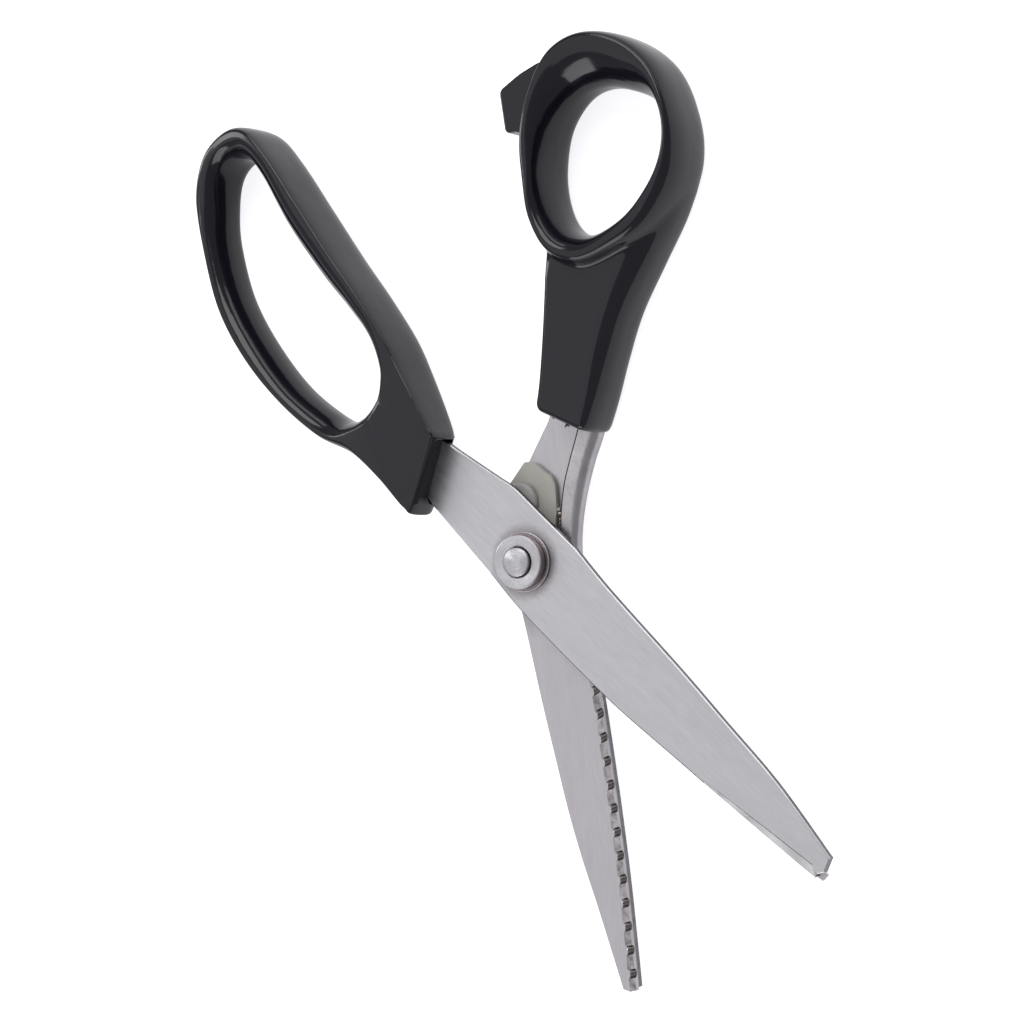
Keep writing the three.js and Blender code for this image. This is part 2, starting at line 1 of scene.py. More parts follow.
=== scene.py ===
# %% [markdown]
# # Pinking shears in Blender
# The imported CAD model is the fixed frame: it says where every part is and how the two levers move. This
# lesson makes a finer piece for each part round that frame, gives it a finish, and lets it ride on its lever.

# %% Load the frame
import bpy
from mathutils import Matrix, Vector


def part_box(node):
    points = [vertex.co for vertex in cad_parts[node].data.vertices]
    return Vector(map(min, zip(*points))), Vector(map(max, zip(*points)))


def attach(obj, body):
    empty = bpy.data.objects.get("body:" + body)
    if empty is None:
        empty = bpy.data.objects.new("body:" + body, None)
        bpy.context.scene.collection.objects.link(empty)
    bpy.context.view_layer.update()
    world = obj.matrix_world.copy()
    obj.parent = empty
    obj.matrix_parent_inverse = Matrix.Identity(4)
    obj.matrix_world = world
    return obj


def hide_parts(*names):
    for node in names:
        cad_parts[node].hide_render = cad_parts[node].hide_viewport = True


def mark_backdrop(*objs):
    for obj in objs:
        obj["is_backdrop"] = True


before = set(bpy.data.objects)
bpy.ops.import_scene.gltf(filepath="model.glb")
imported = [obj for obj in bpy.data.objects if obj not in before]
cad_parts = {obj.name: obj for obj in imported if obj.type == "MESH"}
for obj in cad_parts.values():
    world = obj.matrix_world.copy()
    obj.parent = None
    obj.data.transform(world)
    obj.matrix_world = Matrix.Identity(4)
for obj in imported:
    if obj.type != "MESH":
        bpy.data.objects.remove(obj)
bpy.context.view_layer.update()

# %% [markdown]
# ## Measures
# The frame is in metres. Shears are easier to think about in millimetres, so every outline below is in
# millimetres, and one function makes metres of it. Each lever is drawn with its blade along -Y and is then
# turned about the pivot, as the real levers are made flat and only meet at the bolt.

# %% Levers and levels
import math
import random

import bmesh
import bpy
from mathutils import Matrix, Vector
from mathutils.bvhtree import BVHTree

MM = 0.001
TURN = {"lower_lever": 8, "upper_lever": 52}
BLADE_LENGTH = 101.5


def top_of(node):
    """The highest level of a CAD part, in millimetres."""
    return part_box(node)[1].z / MM


def bottom_of(node):
    """The lowest level of a CAD part, in millimetres."""
    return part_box(node)[0].z / MM


LOWER_PLATE_Z = bottom_of("lower_blade_plate")
LOWER_FACE_Z = top_of("lower_blade_plate")
LOWER_LAND_Z = top_of("lower_toothed_bar")
UPPER_PLATE_Z = bottom_of("upper_blade_plate")
UPPER_FACE_Z = top_of("upper_blade_plate")
HANDLE_TOP = top_of("thumb_handle")
SEAT_GAP = 0.1              # room between parts that fit into or onto each other
LEVELS = LOWER_PLATE_Z, LOWER_LAND_Z, UPPER_PLATE_Z, HANDLE_TOP
print("levels:", [round(z, 2) for z in LEVELS])

# %% [markdown]
# ## Camera
# The shears lie flat and are seen from above, leaning 31 degrees to the right-hand side, with a long lens.

# %% Camera
LEAN = 31
camera_data = bpy.data.cameras.new("camera")
camera_data.sensor_width = 36
camera_data.lens = 87.89
camera = bpy.data.objects.new("camera", camera_data)
camera.location = (0.29889, 0.01170, 0.51209)
camera.rotation_euler = (0, math.radians(LEAN), 0)
bpy.context.scene.collection.objects.link(camera)
bpy.context.scene.camera = camera
print("camera", [round(v, 3) for v in camera.location], "lens", camera_data.lens)

# %% [markdown]
# ## Shared shader effects
# Steel, nylon and moulded plastic share a few effects: lines left by a brush or a grinding wheel, soft
# patches where the finish varies, rings left by a lathe, worn edges, and darkening with depth and about the
# pivot, which paints shade in the grooves and round the nut. Each effect is a node group with named sockets,
# built once and placed in each material with values of its own. Every group works in millimetres from Object
# coordinates, so the effect keeps its real size and moves with its piece.

# %% Node helpers


def new_group(name, inputs, outputs):
    """A node group with float inputs {name: value} and float outputs, and its two end nodes."""
    group = bpy.data.node_groups.new(name, "ShaderNodeTree")
    for socket_name, value in inputs.items():
        socket = group.interface.new_socket(socket_name, in_out="INPUT", socket_type="NodeSocketFloat")
        socket.default_value = value
    for socket_name in outputs:
        group.interface.new_socket(socket_name, in_out="OUTPUT", socket_type="NodeSocketFloat")
    return group, group.nodes.new("NodeGroupInput"), group.nodes.new("NodeGroupOutput")


def feed(tree, value, socket):
    """Sets a socket to a number or a colour, or links another socket to it."""
    if isinstance(value, bpy.types.NodeSocket):
        tree.links.new(value, socket)
    else:
        socket.default_value = (*value, 1) if isinstance(value, tuple) else value


def arithmetic(tree, operation, *values):
    """A Math node. Each value is a number or a socket. Gives the node's output."""
    node = tree.nodes.new("ShaderNodeMath")
    node.operation = operation
    for socket, value in zip(node.inputs, values):
        feed(tree, value, socket)
    return node.outputs[0]


def object_millimetres(tree):
    """The point's place on the piece, in millimetres, as a vector socket."""
    point = tree.nodes.new("ShaderNodeTexCoord")
    scale = tree.nodes.new("ShaderNodeVectorMath")
    scale.operation = "SCALE"
    scale.inputs["Scale"].default_value = 1 / MM
    tree.links.new(point.outputs["Object"], scale.inputs[0])
    return scale.outputs[0]


def split(tree, vector):
    """The X, Y and Z of a vector socket, by name."""
    node = tree.nodes.new("ShaderNodeSeparateXYZ")
    tree.links.new(vector, node.inputs[0])
    return node.outputs


def pivot_radius(tree, point):
    """How far a point lies from the pivot's axis."""
    parts = split(tree, point)
    square_x = arithmetic(tree, "MULTIPLY", parts["X"], parts["X"])
    square_y = arithmetic(tree, "MULTIPLY", parts["Y"], parts["Y"])
    return arithmetic(tree, "SQRT", arithmetic(tree, "ADD", square_x, square_y))


def noise(tree, vector, detail=2.0, roughness=0.5):
    """A Noise texture of one-unit grain."""
    node = tree.nodes.new("ShaderNodeTexNoise")
    node.inputs["Scale"].default_value = 1.0
    node.inputs["Detail"].default_value = detail
    node.inputs["Roughness"].default_value = roughness
    tree.links.new(vector, node.inputs["Vector"])
    return node.outputs["Fac"]


def spread(tree, value, low, high, out_low=0.0, out_high=1.0):
    """Stretches a value from low..high to out_low..out_high, and holds it there."""
    node = tree.nodes.new("ShaderNodeMapRange")
    values = {"Value": value, "From Min": low, "From Max": high, "To Min": out_low, "To Max": out_high}
    for socket_name, given in values.items():
        feed(tree, given, node.inputs[socket_name])
    return node.outputs["Result"]


# %% Brush lines
def make_brush_lines():
    """Long lines along Y, one Width apart and one Length long, as a value round 0.5."""
    group, ins, outs = new_group("brush_lines", {"Width": 0.2, "Length": 20.0, "Slant": 0.0}, ["Lines"])
    turn = group.nodes.new("ShaderNodeVectorRotate")
    turn.rotation_type = "Z_AXIS"
    group.links.new(object_millimetres(group), turn.inputs["Vector"])
    group.links.new(ins.outputs["Slant"], turn.inputs["Angle"])
    stretch = group.nodes.new("ShaderNodeVectorMath")
    stretch.operation = "DIVIDE"
    size = group.nodes.new("ShaderNodeCombineXYZ")
    group.links.new(ins.outputs["Width"], size.inputs["X"])
    group.links.new(ins.outputs["Length"], size.inputs["Y"])
    group.links.new(ins.outputs["Width"], size.inputs["Z"])
    group.links.new(turn.outputs[0], stretch.inputs[0])
    group.links.new(size.outputs[0], stretch.inputs[1])
    group.links.new(noise(group, stretch.outputs[0], 3.0, 0.6), outs.inputs["Lines"])
    return group


BRUSH_LINES = make_brush_lines()


# %% Soft patches
def make_soft_patches():
    """Cloudy patches of one Size, from 0 to 1."""
    group, ins, outs = new_group("soft_patches", {"Size": 10.0}, ["Patches"])
    shrink = group.nodes.new("ShaderNodeVectorMath")
    shrink.operation = "SCALE"
    group.links.new(object_millimetres(group), shrink.inputs[0])
    group.links.new(arithmetic(group, "DIVIDE", 1.0, ins.outputs["Size"]), shrink.inputs["Scale"])
    cloud = noise(group, shrink.outputs[0], 2.0, 0.5)
    group.links.new(spread(group, cloud, 0.3, 0.7), outs.inputs["Patches"])
    return group


SOFT_PATCHES = make_soft_patches()


# %% Lathe rings
def make_lathe_rings():
    """Fine rings about the pivot's axis, one Pitch apart, as a value round 0.5."""
    group, ins, outs = new_group("lathe_rings", {"Pitch": 0.15}, ["Rings"])
    radius = pivot_radius(group, object_millimetres(group))
    rings = group.nodes.new("ShaderNodeTexNoise")
    rings.noise_dimensions = "1D"
    rings.inputs["Scale"].default_value = 1.0
    rings.inputs["Detail"].default_value = 3.0
    group.links.new(arithmetic(group, "DIVIDE", radius, ins.outputs["Pitch"]), rings.inputs["W"])
    group.links.new(rings.outputs["Fac"], outs.inputs["Rings"])
    return group


LATHE_RINGS = make_lathe_rings()


# %% Darkening round the pivot
def make_pivot_darkening():
    """1 at the Near radius about the pivot and 0 from the Far radius on, broken up a little."""
    group, ins, outs = new_group("pivot_darkening", {"Near": 7.0, "Far": 10.0}, ["Darkening"])
    point = object_millimetres(group)
    ragged = arithmetic(group, "MULTIPLY_ADD", noise(group, point, 3.0, 0.6), 1.6, pivot_radius(group, point))
    near_pivot = spread(group, ragged, ins.outputs["Near"], ins.outputs["Far"], 1.0, 0.0)
    group.links.new(near_pivot, outs.inputs["Darkening"])
    return group


PIVOT_DARKENING = make_pivot_darkening()


# %% Depth mask
def make_depth_mask():
    """0 at the Upper level and 1 at the Lower level: painted shade gathers in what is deep."""
    group, ins, outs = new_group("depth_mask", {"Upper": 5.8, "Lower": 5.0}, ["Depth"])
    height = split(group, object_millimetres(group))["Z"]
    depth = spread(group, height, ins.outputs["Lower"], ins.outputs["Upper"], 1.0, 0.0)
    group.links.new(depth, outs.inputs["Depth"])
    return group


DEPTH_MASK = make_depth_mask()


# %% Worn edges
def make_worn_edges():
    """1 on sharp outer edges and 0 elsewhere, from the mesh's own pointiness."""
    group, ins, outs = new_group("worn_edges", {"From": 0.52, "To": 0.6}, ["Wear"])
    shape = group.nodes.new("ShaderNodeNewGeometry")
    wear = spread(group, shape.outputs["Pointiness"], ins.outputs["From"], ins.outputs["To"])
    group.links.new(wear, outs.inputs["Wear"])
    return group


WORN_EDGES = make_worn_edges()
print("effects:", [g.name for g in bpy.data.node_groups])

# %% [markdown]
# ## Finishes
# A finish is one Principled shader with its own colour, roughness and bump. Numbers that are the same all
# over go straight on the shader's sockets, and effects reach it only where they change over the surface.

# %% Finish helpers
PRINCIPLED = "Principled BSDF"


def new_finish(name, colour, metallic, roughness):
    """A material with a Principled shader of one colour. Gives the material and its tree."""
    material = bpy.data.materials.new(name)
    material.use_nodes = True
    material.diffuse_color = (*colour, 1)
    tree = material.node_tree
    shader = tree.nodes[PRINCIPLED]
    shader.inputs["Base Color"].default_value = (*colour, 1)
    shader.inputs["Metallic"].default_value = metallic
    shader.inputs["Roughness"].default_value = roughness
    return material, tree


def effect(tree, group, output, **values):
    """Places a shared effect with its own values and gives one of its outputs."""
    node = tree.nodes.new("ShaderNodeGroup")
    node.node_tree = group
    for socket_name, value in values.items():
        node.inputs[socket_name].default_value = value
    return node.outputs[output]


def mixed(tree, mask, low, high):
    """A colour between two, each a colour or a socket, chosen by a mask."""
    node = tree.nodes.new("ShaderNodeMix")
    node.data_type = "RGBA"
    tree.links.new(mask, node.inputs[0])
    feed(tree, low, node.inputs[6])
    feed(tree, high, node.inputs[7])
    return node.outputs[2]


def faded(tree, mask, share, low, high):
    """A colour between two, where the mask counts for a share only."""
    return mixed(tree, arithmetic(tree, "MULTIPLY", mask, share), low, high)


def dressed(material, colour, roughness, height=None, depth_mm=0.0):
    """Gives a material its colour, its roughness and, from a height, small relief."""
    tree = material.node_tree
    shader = tree.nodes[PRINCIPLED]
    tree.links.new(colour, shader.inputs["Base Color"])
    tree.links.new(roughness, shader.inputs["Roughness"])
    if height is not None:
        bump = tree.nodes.new("ShaderNodeBump")
        bump.inputs["Strength"].default_value = 1.0
        bump.inputs["Distance"].default_value = depth_mm * MM
        tree.links.new(height, bump.inputs["Height"])
        tree.links.new(bump.outputs["Normal"], shader.inputs["Normal"])
    return material


def patchy(name, colour, metallic, size, low, high, smooth, rough, depth_mm=0.0):
    """A finish of soft patches: they shade from one colour to another, and from smooth to rough."""
    material, tree = new_finish(name, colour, metallic, smooth)
    patches = effect(tree, SOFT_PATCHES, "Patches", Size=size)
    roughness = spread(tree, patches, 0.0, 1.0, smooth, rough)
    height = patches if depth_mm else None
    return dressed(material, mixed(tree, patches, low, high), roughness, height, depth_mm)


# %% [markdown]
# ### Brushed blade steel
# The plates are stainless strip, brushed along the blade on a belt. The lines are close and shallow, the
# belt's pressure leaves soft brighter and darker lanes, and painted shade darkens the steel round the nut.

# %% Brushed blade steel


def along(lever):
    """The slant that lays brush lines along a lever's blade."""
    return -math.radians(TURN[lever])


def blade_steel(name, lever, light, dark, shade_from, shade_to):
    """Brushed steel between two tones, with painted shade round the nut between two radii about the pivot."""
    material, tree = new_finish(name, light, 0.86, 0.4)
    slant = along(lever)
    fine = effect(tree, BRUSH_LINES, "Lines", Width=0.16, Length=5.0, Slant=slant)
    lanes = effect(tree, BRUSH_LINES, "Lines", Width=2.4, Length=34.0, Slant=slant)
    patches = effect(tree, SOFT_PATCHES, "Patches", Size=14.0)
    # painted shade: the steel darkens round the nut, where its shade falls
    near_pivot = effect(tree, PIVOT_DARKENING, "Darkening", Near=shade_from, Far=shade_to)
    weighed = arithmetic(tree, "MULTIPLY_ADD", lanes, 0.35, fine)
    tone = spread(tree, weighed, 0.36, 0.99)
    steel = mixed(tree, tone, dark, light)
    cloudy = faded(tree, patches, 0.35, steel, tuple(0.86 * c for c in light))
    painted_shade_tone = faded(tree, near_pivot, 0.6, cloudy, (0.19, 0.17, 0.17))
    return dressed(material, painted_shade_tone, spread(tree, fine, 0.3, 0.7, 0.30, 0.46), fine, 0.012)


UPPER_STEEL = blade_steel("upper_blade_steel", "upper_lever",
                          (0.66, 0.65, 0.68), (0.47, 0.46, 0.49), 7.9, 10.2)
LOWER_STEEL = blade_steel("lower_blade_steel", "lower_lever",
                          (0.60, 0.575, 0.61), (0.46, 0.44, 0.47), 9.0, 19.0)

# %% [markdown]
# ### Edges and sides
# Edges and bevels are ground after brushing, so they are a little smoother than the faces, and brighter,
# partly as painted highlight. The sides of a plate take a dark copy of the steel as painted shade.

# %% Edge and side steel
# partly painted highlight: ground edges are smoother, and their brighter colour stands for the light on them
GROUND_AND_HIGHLIGHT_STEEL = patchy("ground_edge_steel_painted_highlight", (0.80, 0.79, 0.81), 1.0, 5.0,
                    (0.64, 0.63, 0.65), (0.74, 0.73, 0.75), 0.26, 0.36)
# painted shade: a dark copy of the steel for the sides and steps of the plates
SHADED_SIDE_STEEL = patchy("painted_shade_side_steel", (0.20, 0.19, 0.20), 1.0, 1.5,
                       (0.14, 0.13, 0.14), (0.26, 0.25, 0.26), 0.32, 0.5, 0.01)

# %% [markdown]
# ### Toothed bar and neck steel
# The teeth are ground across the bar with a round wheel. The wheel leaves lines across each land, and
# the steel darkens with depth in the grooves, as painted shade.

# %% Toothed bar steel


def toothed_steel():
    """Steel ground across the bar, with painted shade in its grooves."""
    material, tree = new_finish("toothed_bar_steel", (0.50, 0.47, 0.49), 1.0, 0.34)
    across = effect(tree, BRUSH_LINES, "Lines", Width=3.0, Length=0.16, Slant=along("lower_lever"))
    patches = effect(tree, SOFT_PATCHES, "Patches", Size=1.6)
    depth = effect(tree, DEPTH_MASK, "Depth", Upper=LOWER_LAND_Z - 0.12, Lower=LOWER_LAND_Z - 0.6)
    steel = mixed(tree, patches, (0.22, 0.20, 0.21), (0.52, 0.49, 0.51))
    # painted shade: the steel darkens with depth in the grooves
    painted_shade_tone = mixed(tree, depth, steel, (0.10, 0.09, 0.09))
    return dressed(material, painted_shade_tone, spread(tree, across, 0.3, 0.7, 0.26, 0.44), across, 0.012)


TOOTHED_STEEL = toothed_steel()


def side_steel():
    """The sides of the bars are brushed along them."""
    material, tree = new_finish("bar_side_steel", (0.66, 0.65, 0.67), 1.0, 0.34)
    lines = effect(tree, BRUSH_LINES, "Lines", Width=0.2, Length=12.0, Slant=along("lower_lever"))
    patches = effect(tree, SOFT_PATCHES, "Patches", Size=5.0)
    tone = mixed(tree, arithmetic(tree, "MULTIPLY", lines, patches), (0.44, 0.42, 0.44), (0.66, 0.65, 0.68))
    return dressed(material, tone, spread(tree, lines, 0.3, 0.7, 0.28, 0.42), lines, 0.01)


SIDE_STEEL = side_steel()


def neck_steel():
    """The top of the neck is only wiped with a fine stone, so it is finely mottled."""
    material, tree = new_finish("neck_top_steel", (0.56, 0.54, 0.56), 1.0, 0.36)
    patches = effect(tree, SOFT_PATCHES, "Patches", Size=0.7)
    broad = effect(tree, SOFT_PATCHES, "Patches", Size=7.0)
    tone = arithmetic(tree, "MULTIPLY_ADD", patches, 0.45, arithmetic(tree, "MULTIPLY", broad, 0.55))
    mottled = mixed(tree, tone, (0.40, 0.38, 0.39), (0.62, 0.60, 0.62))
    return dressed(material, mottled, spread(tree, patches, 0.0, 1.0, 0.3, 0.46), patches, 0.01)


NECK_STEEL = neck_steel()

# %% [markdown]
# The brazed joint beside the neck is drawn as a nearly black cord, as painted shade.

# %% Painted joint shade
JOINT_SHADE_BLACK = patchy("painted_joint_shade", (0.03, 0.024, 0.022), 0.0, 1.2,
                  (0.012, 0.01, 0.01), (0.07, 0.055, 0.05), 0.35, 0.6, 0.02)

# %% [markdown]
# ### Turned pivot steel
# Bolt, nut and washers come off a lathe. The tool leaves fine rings on every face, and these rings spread
# a light into the bright wedges that turned faces show. A darker copy of the steel is painted shade on the
# nut's side, the washer, the spring ring and the spacer.

# %% Turned steel


def turned_steel(name, light, dark, roughness):
    """Steel with lathe rings, between two tones."""
    material, tree = new_finish(name, light, 1.0, roughness)
    rings = effect(tree, LATHE_RINGS, "Rings", Pitch=0.11)
    patches = effect(tree, SOFT_PATCHES, "Patches", Size=3.0)
    tone = arithmetic(tree, "MULTIPLY_ADD", rings, 0.7, arithmetic(tree, "MULTIPLY", patches, 0.3))
    ringed = spread(tree, rings, 0.3, 0.7, roughness - 0.05, roughness + 0.12)
    return dressed(material, mixed(tree, tone, dark, light), ringed, rings, 0.035)


NUT_STEEL = turned_steel("turned_steel", (0.70, 0.69, 0.72), (0.42, 0.41, 0.43), 0.28)
# painted shade: a darker copy of the turned steel for faces where shade falls
SHADED_TURNED_STEEL = turned_steel("painted_shade_turned_steel", (0.42, 0.37, 0.38), (0.20, 0.17, 0.18), 0.30)

# %% [markdown]
# ### Black moulded plastic
# The handles are glossy black ABS from a polished mould. The gloss carries the look: a thin clear skin over
# black, with faint waves where the plastic shrank, a few hairlines from use and edges rubbed a little paler.

# %% Black plastic
PLASTIC_BLACK = (0.0085, 0.0075, 0.0125)


def black_plastic():
    """Glossy black with faint waves, hairlines and worn edges."""
    material, tree = new_finish("black_plastic", PLASTIC_BLACK, 0.0, 0.13)
    tree.nodes[PRINCIPLED].inputs["IOR"].default_value = 1.46
    waves = effect(tree, SOFT_PATCHES, "Patches", Size=9.0)
    hairlines = effect(tree, BRUSH_LINES, "Lines", Width=0.12, Length=5.0, Slant=0.6)
    wear = effect(tree, WORN_EDGES, "Wear", From=0.60, To=0.78)
    scratch = spread(tree, hairlines, 0.66, 0.72)
    worn = faded(tree, wear, 0.4, PLASTIC_BLACK, (0.04, 0.038, 0.044))
    scratched = faded(tree, scratch, 0.25, worn, (0.06, 0.06, 0.06))
    gloss = arithmetic(tree, "MULTIPLY_ADD", waves, 0.05, 0.10)
    return dressed(material, scratched, arithmetic(tree, "MULTIPLY_ADD", scratch, 0.15, gloss), waves, 0.05)


BLACK_PLASTIC = black_plastic()

# %% [markdown]
# ### Nylon pad and button
# Natural nylon is a warm grey that lets a little light in. It is matt, slightly mottled, and darker
# towards the pivot.

# %% Nylon


def nylon(name, plain_colour, near_pivot_colour, size):
    """Nylon that darkens towards the pivot, with mottling of one size."""
    material, tree = new_finish(name, plain_colour, 0.0, 0.42)
    shader = tree.nodes[PRINCIPLED]
    shader.inputs["Subsurface Weight"].default_value = 0.12
    shader.inputs["Subsurface Radius"].default_value = (0.0012, 0.0010, 0.0008)
    shader.inputs["Subsurface Scale"].default_value = 1.0
    patches = effect(tree, SOFT_PATCHES, "Patches", Size=size)
    near_pivot = effect(tree, PIVOT_DARKENING, "Darkening", Near=9.0, Far=17.0)
    speckle = effect(tree, SOFT_PATCHES, "Patches", Size=0.25)
    base = mixed(tree, patches, plain_colour, tuple(0.82 * c for c in plain_colour))
    roughness = spread(tree, patches, 0.0, 1.0, 0.34, 0.5)
    return dressed(material, faded(tree, near_pivot, 0.75, base, near_pivot_colour), roughness, speckle, 0.015)


PAD_NYLON = nylon("nylon", (0.43, 0.42, 0.385), (0.32, 0.31, 0.285), 4.0)
BUTTON_NYLON = nylon("button_nylon", (0.34, 0.335, 0.325), (0.27, 0.265, 0.26), 2.0)

# %% [markdown]
# ### Weld beads
# The neck is tacked to the plate beside the pad before it is brazed. The tacks cooled brown, with
# bright spots.

# %% Weld bead steel
WELD_STEEL = patchy("weld_bead_steel", (0.45, 0.36, 0.30), 1.0, 0.5,
                    (0.14, 0.10, 0.085), (0.72, 0.62, 0.56), 0.22, 0.5, 0.03)
print("finishes:", [m.name for m in bpy.data.materials])

# %% [markdown]
# ## Curves and meshes
# Most pieces of the shears are flat plates, turned rounds, or skins stretched over cross-sections. A few
# short helpers make those three forms from points in millimetres.

# %% Curves


def curve_point(points, share, ends="held"):
    """A point on the smooth curve through points, at a share of its spans. A "loop" closes on itself;
    "held" repeats the end points, and "mirrored" runs straight on past them."""
    loop = ends == "loop"
    spans = len(points) if loop else len(points) - 1
    step = min(int(share * spans), spans - 1)
    t = share * spans - step

    def at(i):
        if loop:
            return points[i % len(points)]
        if 0 <= i < len(points):
            return points[i]
        end, inner = (points[0], points[1]) if i < 0 else (points[-1], points[-2])
        return end if ends == "held" else 2 * end - inner

    a, b, c, d = at(step - 1), at(step), at(step + 1), at(step + 2)
    leave, arrive = (c - a) / 2, (d - b) / 2
    cubed = 2 * b - 2 * c + leave + arrive
    squared = 3 * c - 3 * b - 2 * leave - arrive
    return cubed * t**3 + squared * t**2 + leave * t + b


def smooth_line(points, count, ends="held"):
    """The smooth curve through [x, y] points, as count + 1 points (count in a loop)."""
    vectors = [Vector(p) for p in points]
    last = 0 if ends == "loop" else 1
    return [curve_point(vectors, i / count, ends) for i in range(count + last)]


def down_blade(points):
    """Points down a blade, from (x, share of the blade's length)."""
    return [(x, -share * BLADE_LENGTH) for x, share in points]


# %% Meshes
def new_piece(name, vertices, faces, materials):
    """A mesh object from points in millimetres, closed, with its faces turned outwards."""
    mesh = bpy.data.meshes.new(name)
    mesh.from_pydata([Vector(v) * MM for v in vertices], [], faces)
    shaper = bmesh.new()
    shaper.from_mesh(mesh)
    bmesh.ops.recalc_face_normals(shaper, faces=shaper.faces)
    shaper.to_mesh(mesh)
    shaper.free()
    for material in materials:
        mesh.materials.append(material)
    piece = bpy.data.objects.new(name, mesh)
    bpy.context.scene.collection.objects.link(piece)
    return piece


def skin(name, rings, closed, *materials):
    """A skin over rings of points, all with the same number. Closed rings join on; open ones are capped."""
    size = len(rings[0])
    vertices = [p for ring in rings for p in ring]
    faces = []
    for i in range(len(rings) if closed else len(rings) - 1):
        here, beyond = i * size, (i + 1) % len(rings) * size
        for j in range(size):
            k = (j + 1) % size
            faces.append((here + j, here + k, beyond + k, beyond + j))
    if not closed:
        faces.append(tuple(range(size)))
        faces.append(tuple(range(len(vertices) - size, len(vertices))))
    return new_piece(name, vertices, faces, materials)


def settle(piece):
    """Applies a piece's modifiers to its mesh."""
    bpy.context.view_layer.update()
    finished = bpy.data.meshes.new_from_object(piece.evaluated_get(bpy.context.evaluated_depsgraph_get()))
    piece.modifiers.clear()
    old, piece.data = piece.data, finished
    bpy.data.meshes.remove(old)
    finished.name = piece.name


def carve(piece, tools, operation="DIFFERENCE"):
    """Cuts tools out of a piece, or joins them to it, and removes them."""
    for tool in tools:
        modifier = piece.modifiers.new(operation.lower(), "BOOLEAN")
        modifier.operation = operation
        modifier.solver = "EXACT"
        modifier.object = tool
    settle(piece)
    for tool in tools:
        bpy.data.objects.remove(tool)
    return piece


def rounded_edges(piece, width, steps=2, sharper_than=35):
    """Small round on every edge sharper than an angle."""
    modifier = piece.modifiers.new("edges", "BEVEL")
    modifier.width = width * MM
    modifier.segments = steps
    modifier.limit_method = "ANGLE"
    modifier.angle_limit = math.radians(sharper_than)
    settle(piece)
    return piece


def shaded(piece, sharper_than=30):
    """Smooth shading, with edges sharper than an angle kept crisp."""
    piece.data.shade_smooth()
    piece.data.set_sharp_from_angle(angle=math.radians(sharper_than))
    flats = piece.modifiers.new("flats", "WEIGHTED_NORMAL")
    flats.keep_sharp = True
    return piece


# %% Placing
def place(piece, lever, slot, *nodes):
    """Turns a piece to its lever's rest angle, makes it ride there and lets it stand for CAD nodes."""
    piece.data.transform(Matrix.Rotation(math.radians(TURN[lever]), 4, "Z"))
    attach(piece, lever)
    if nodes:
        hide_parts(*nodes)
    print(piece.name, "rides on", lever, "with", len(piece.data.polygons), "faces")


# %% [markdown]
# ## Blade plates
# A plate is cut from strip, so it is an outline with two flat faces. The spine carries a small bright
# bevel. Near the tip of the upper blade the cutting side is ground down in a strip that widens to the end.
# The rim is therefore an inset outline whose inset and drop may change from point to point.

# %% Plate helper
LEAST_BEND = 0.35           # keeps an inset corner from shooting out where the outline bends sharply
UNDER_BEVEL = 0.15
STEP_SHARE = 0.85           # the step begins at this share of the rim's width,
STEP_REACH = 0.35           # or this far from its inner edge, whichever lies farther in


def inset(outline, distances):
    """Moves each point of an outline inwards by its own distance."""
    count = len(outline)
    area = sum(outline[i - 1].x * outline[i].y - outline[i].x * outline[i - 1].y for i in range(count))
    inward = 1 if area > 0 else -1
    moved = []
    for i, here in enumerate(outline):
        first = (here - outline[i - 1]).normalized()
        second = (outline[(i + 1) % count] - here).normalized()
        side_a = Vector((-first.y, first.x)) * inward
        side_b = Vector((-second.y, second.x)) * inward
        bend = max(LEAST_BEND, 1 + side_a.dot(side_b))
        moved.append(here + (side_a + side_b) / bend * distances[i])
    return moved


def level(points, z):
    """Plan points at one height, or each at its own."""
    heights = z if isinstance(z, list) else [z] * len(points)
    return [(p.x, p.y, h) for p, h in zip(points, heights)]


def plate(name, outline, bottom, top, rim_in, rim_drop, step, face_finish, shaded_rim_points=()):
    """A flat plate with a small bevel below and a rim bevel above, which ends in a little step where it
    meets the face. Its sides, the step and the small bevel below take the dark side steel, a painted shade.
    Its rim takes the ground steel, brightened partly as painted highlight, but for the points given as
    shaded, whose rim takes the painted shade as well."""
    outline = [Vector(p) for p in outline]
    under = [UNDER_BEVEL] * len(outline)
    step_in = [max(STEP_SHARE * width, width - STEP_REACH) for width in rim_in]
    rings = [
        level(inset(outline, under), bottom),
        level(outline, bottom + UNDER_BEVEL),
        level(outline, [top - drop for drop in rim_drop]),
        level(inset(outline, step_in), [top - height for height in step]),
        level(inset(outline, rim_in), top),
    ]
    piece = skin(name, rings, False, face_finish, GROUND_AND_HIGHLIGHT_STEEL, SHADED_SIDE_STEEL)
    rim_band, count = 2, len(outline)
    # painted shade on the under bevel, the side and the step; the rim takes the ground steel with its painted
    # highlight
    for band in range(len(rings) - 1):
        for j in range(count):
            ground = band == rim_band and j not in shaded_rim_points
            piece.data.polygons[band * count + j].material_index = 1 if ground else 2
    return piece


def round_cutter(radius, bottom, top, x=0.0, y=0.0, steps=64):
    """A plain round tool for cutting bores."""
    angles = [2 * math.pi * i / steps for i in range(steps)]
    circle = [(x + radius * math.cos(a), y + radius * math.sin(a)) for a in angles]
    return skin("cutter", [[(*p, bottom) for p in circle], [(*p, top) for p in circle]], False)


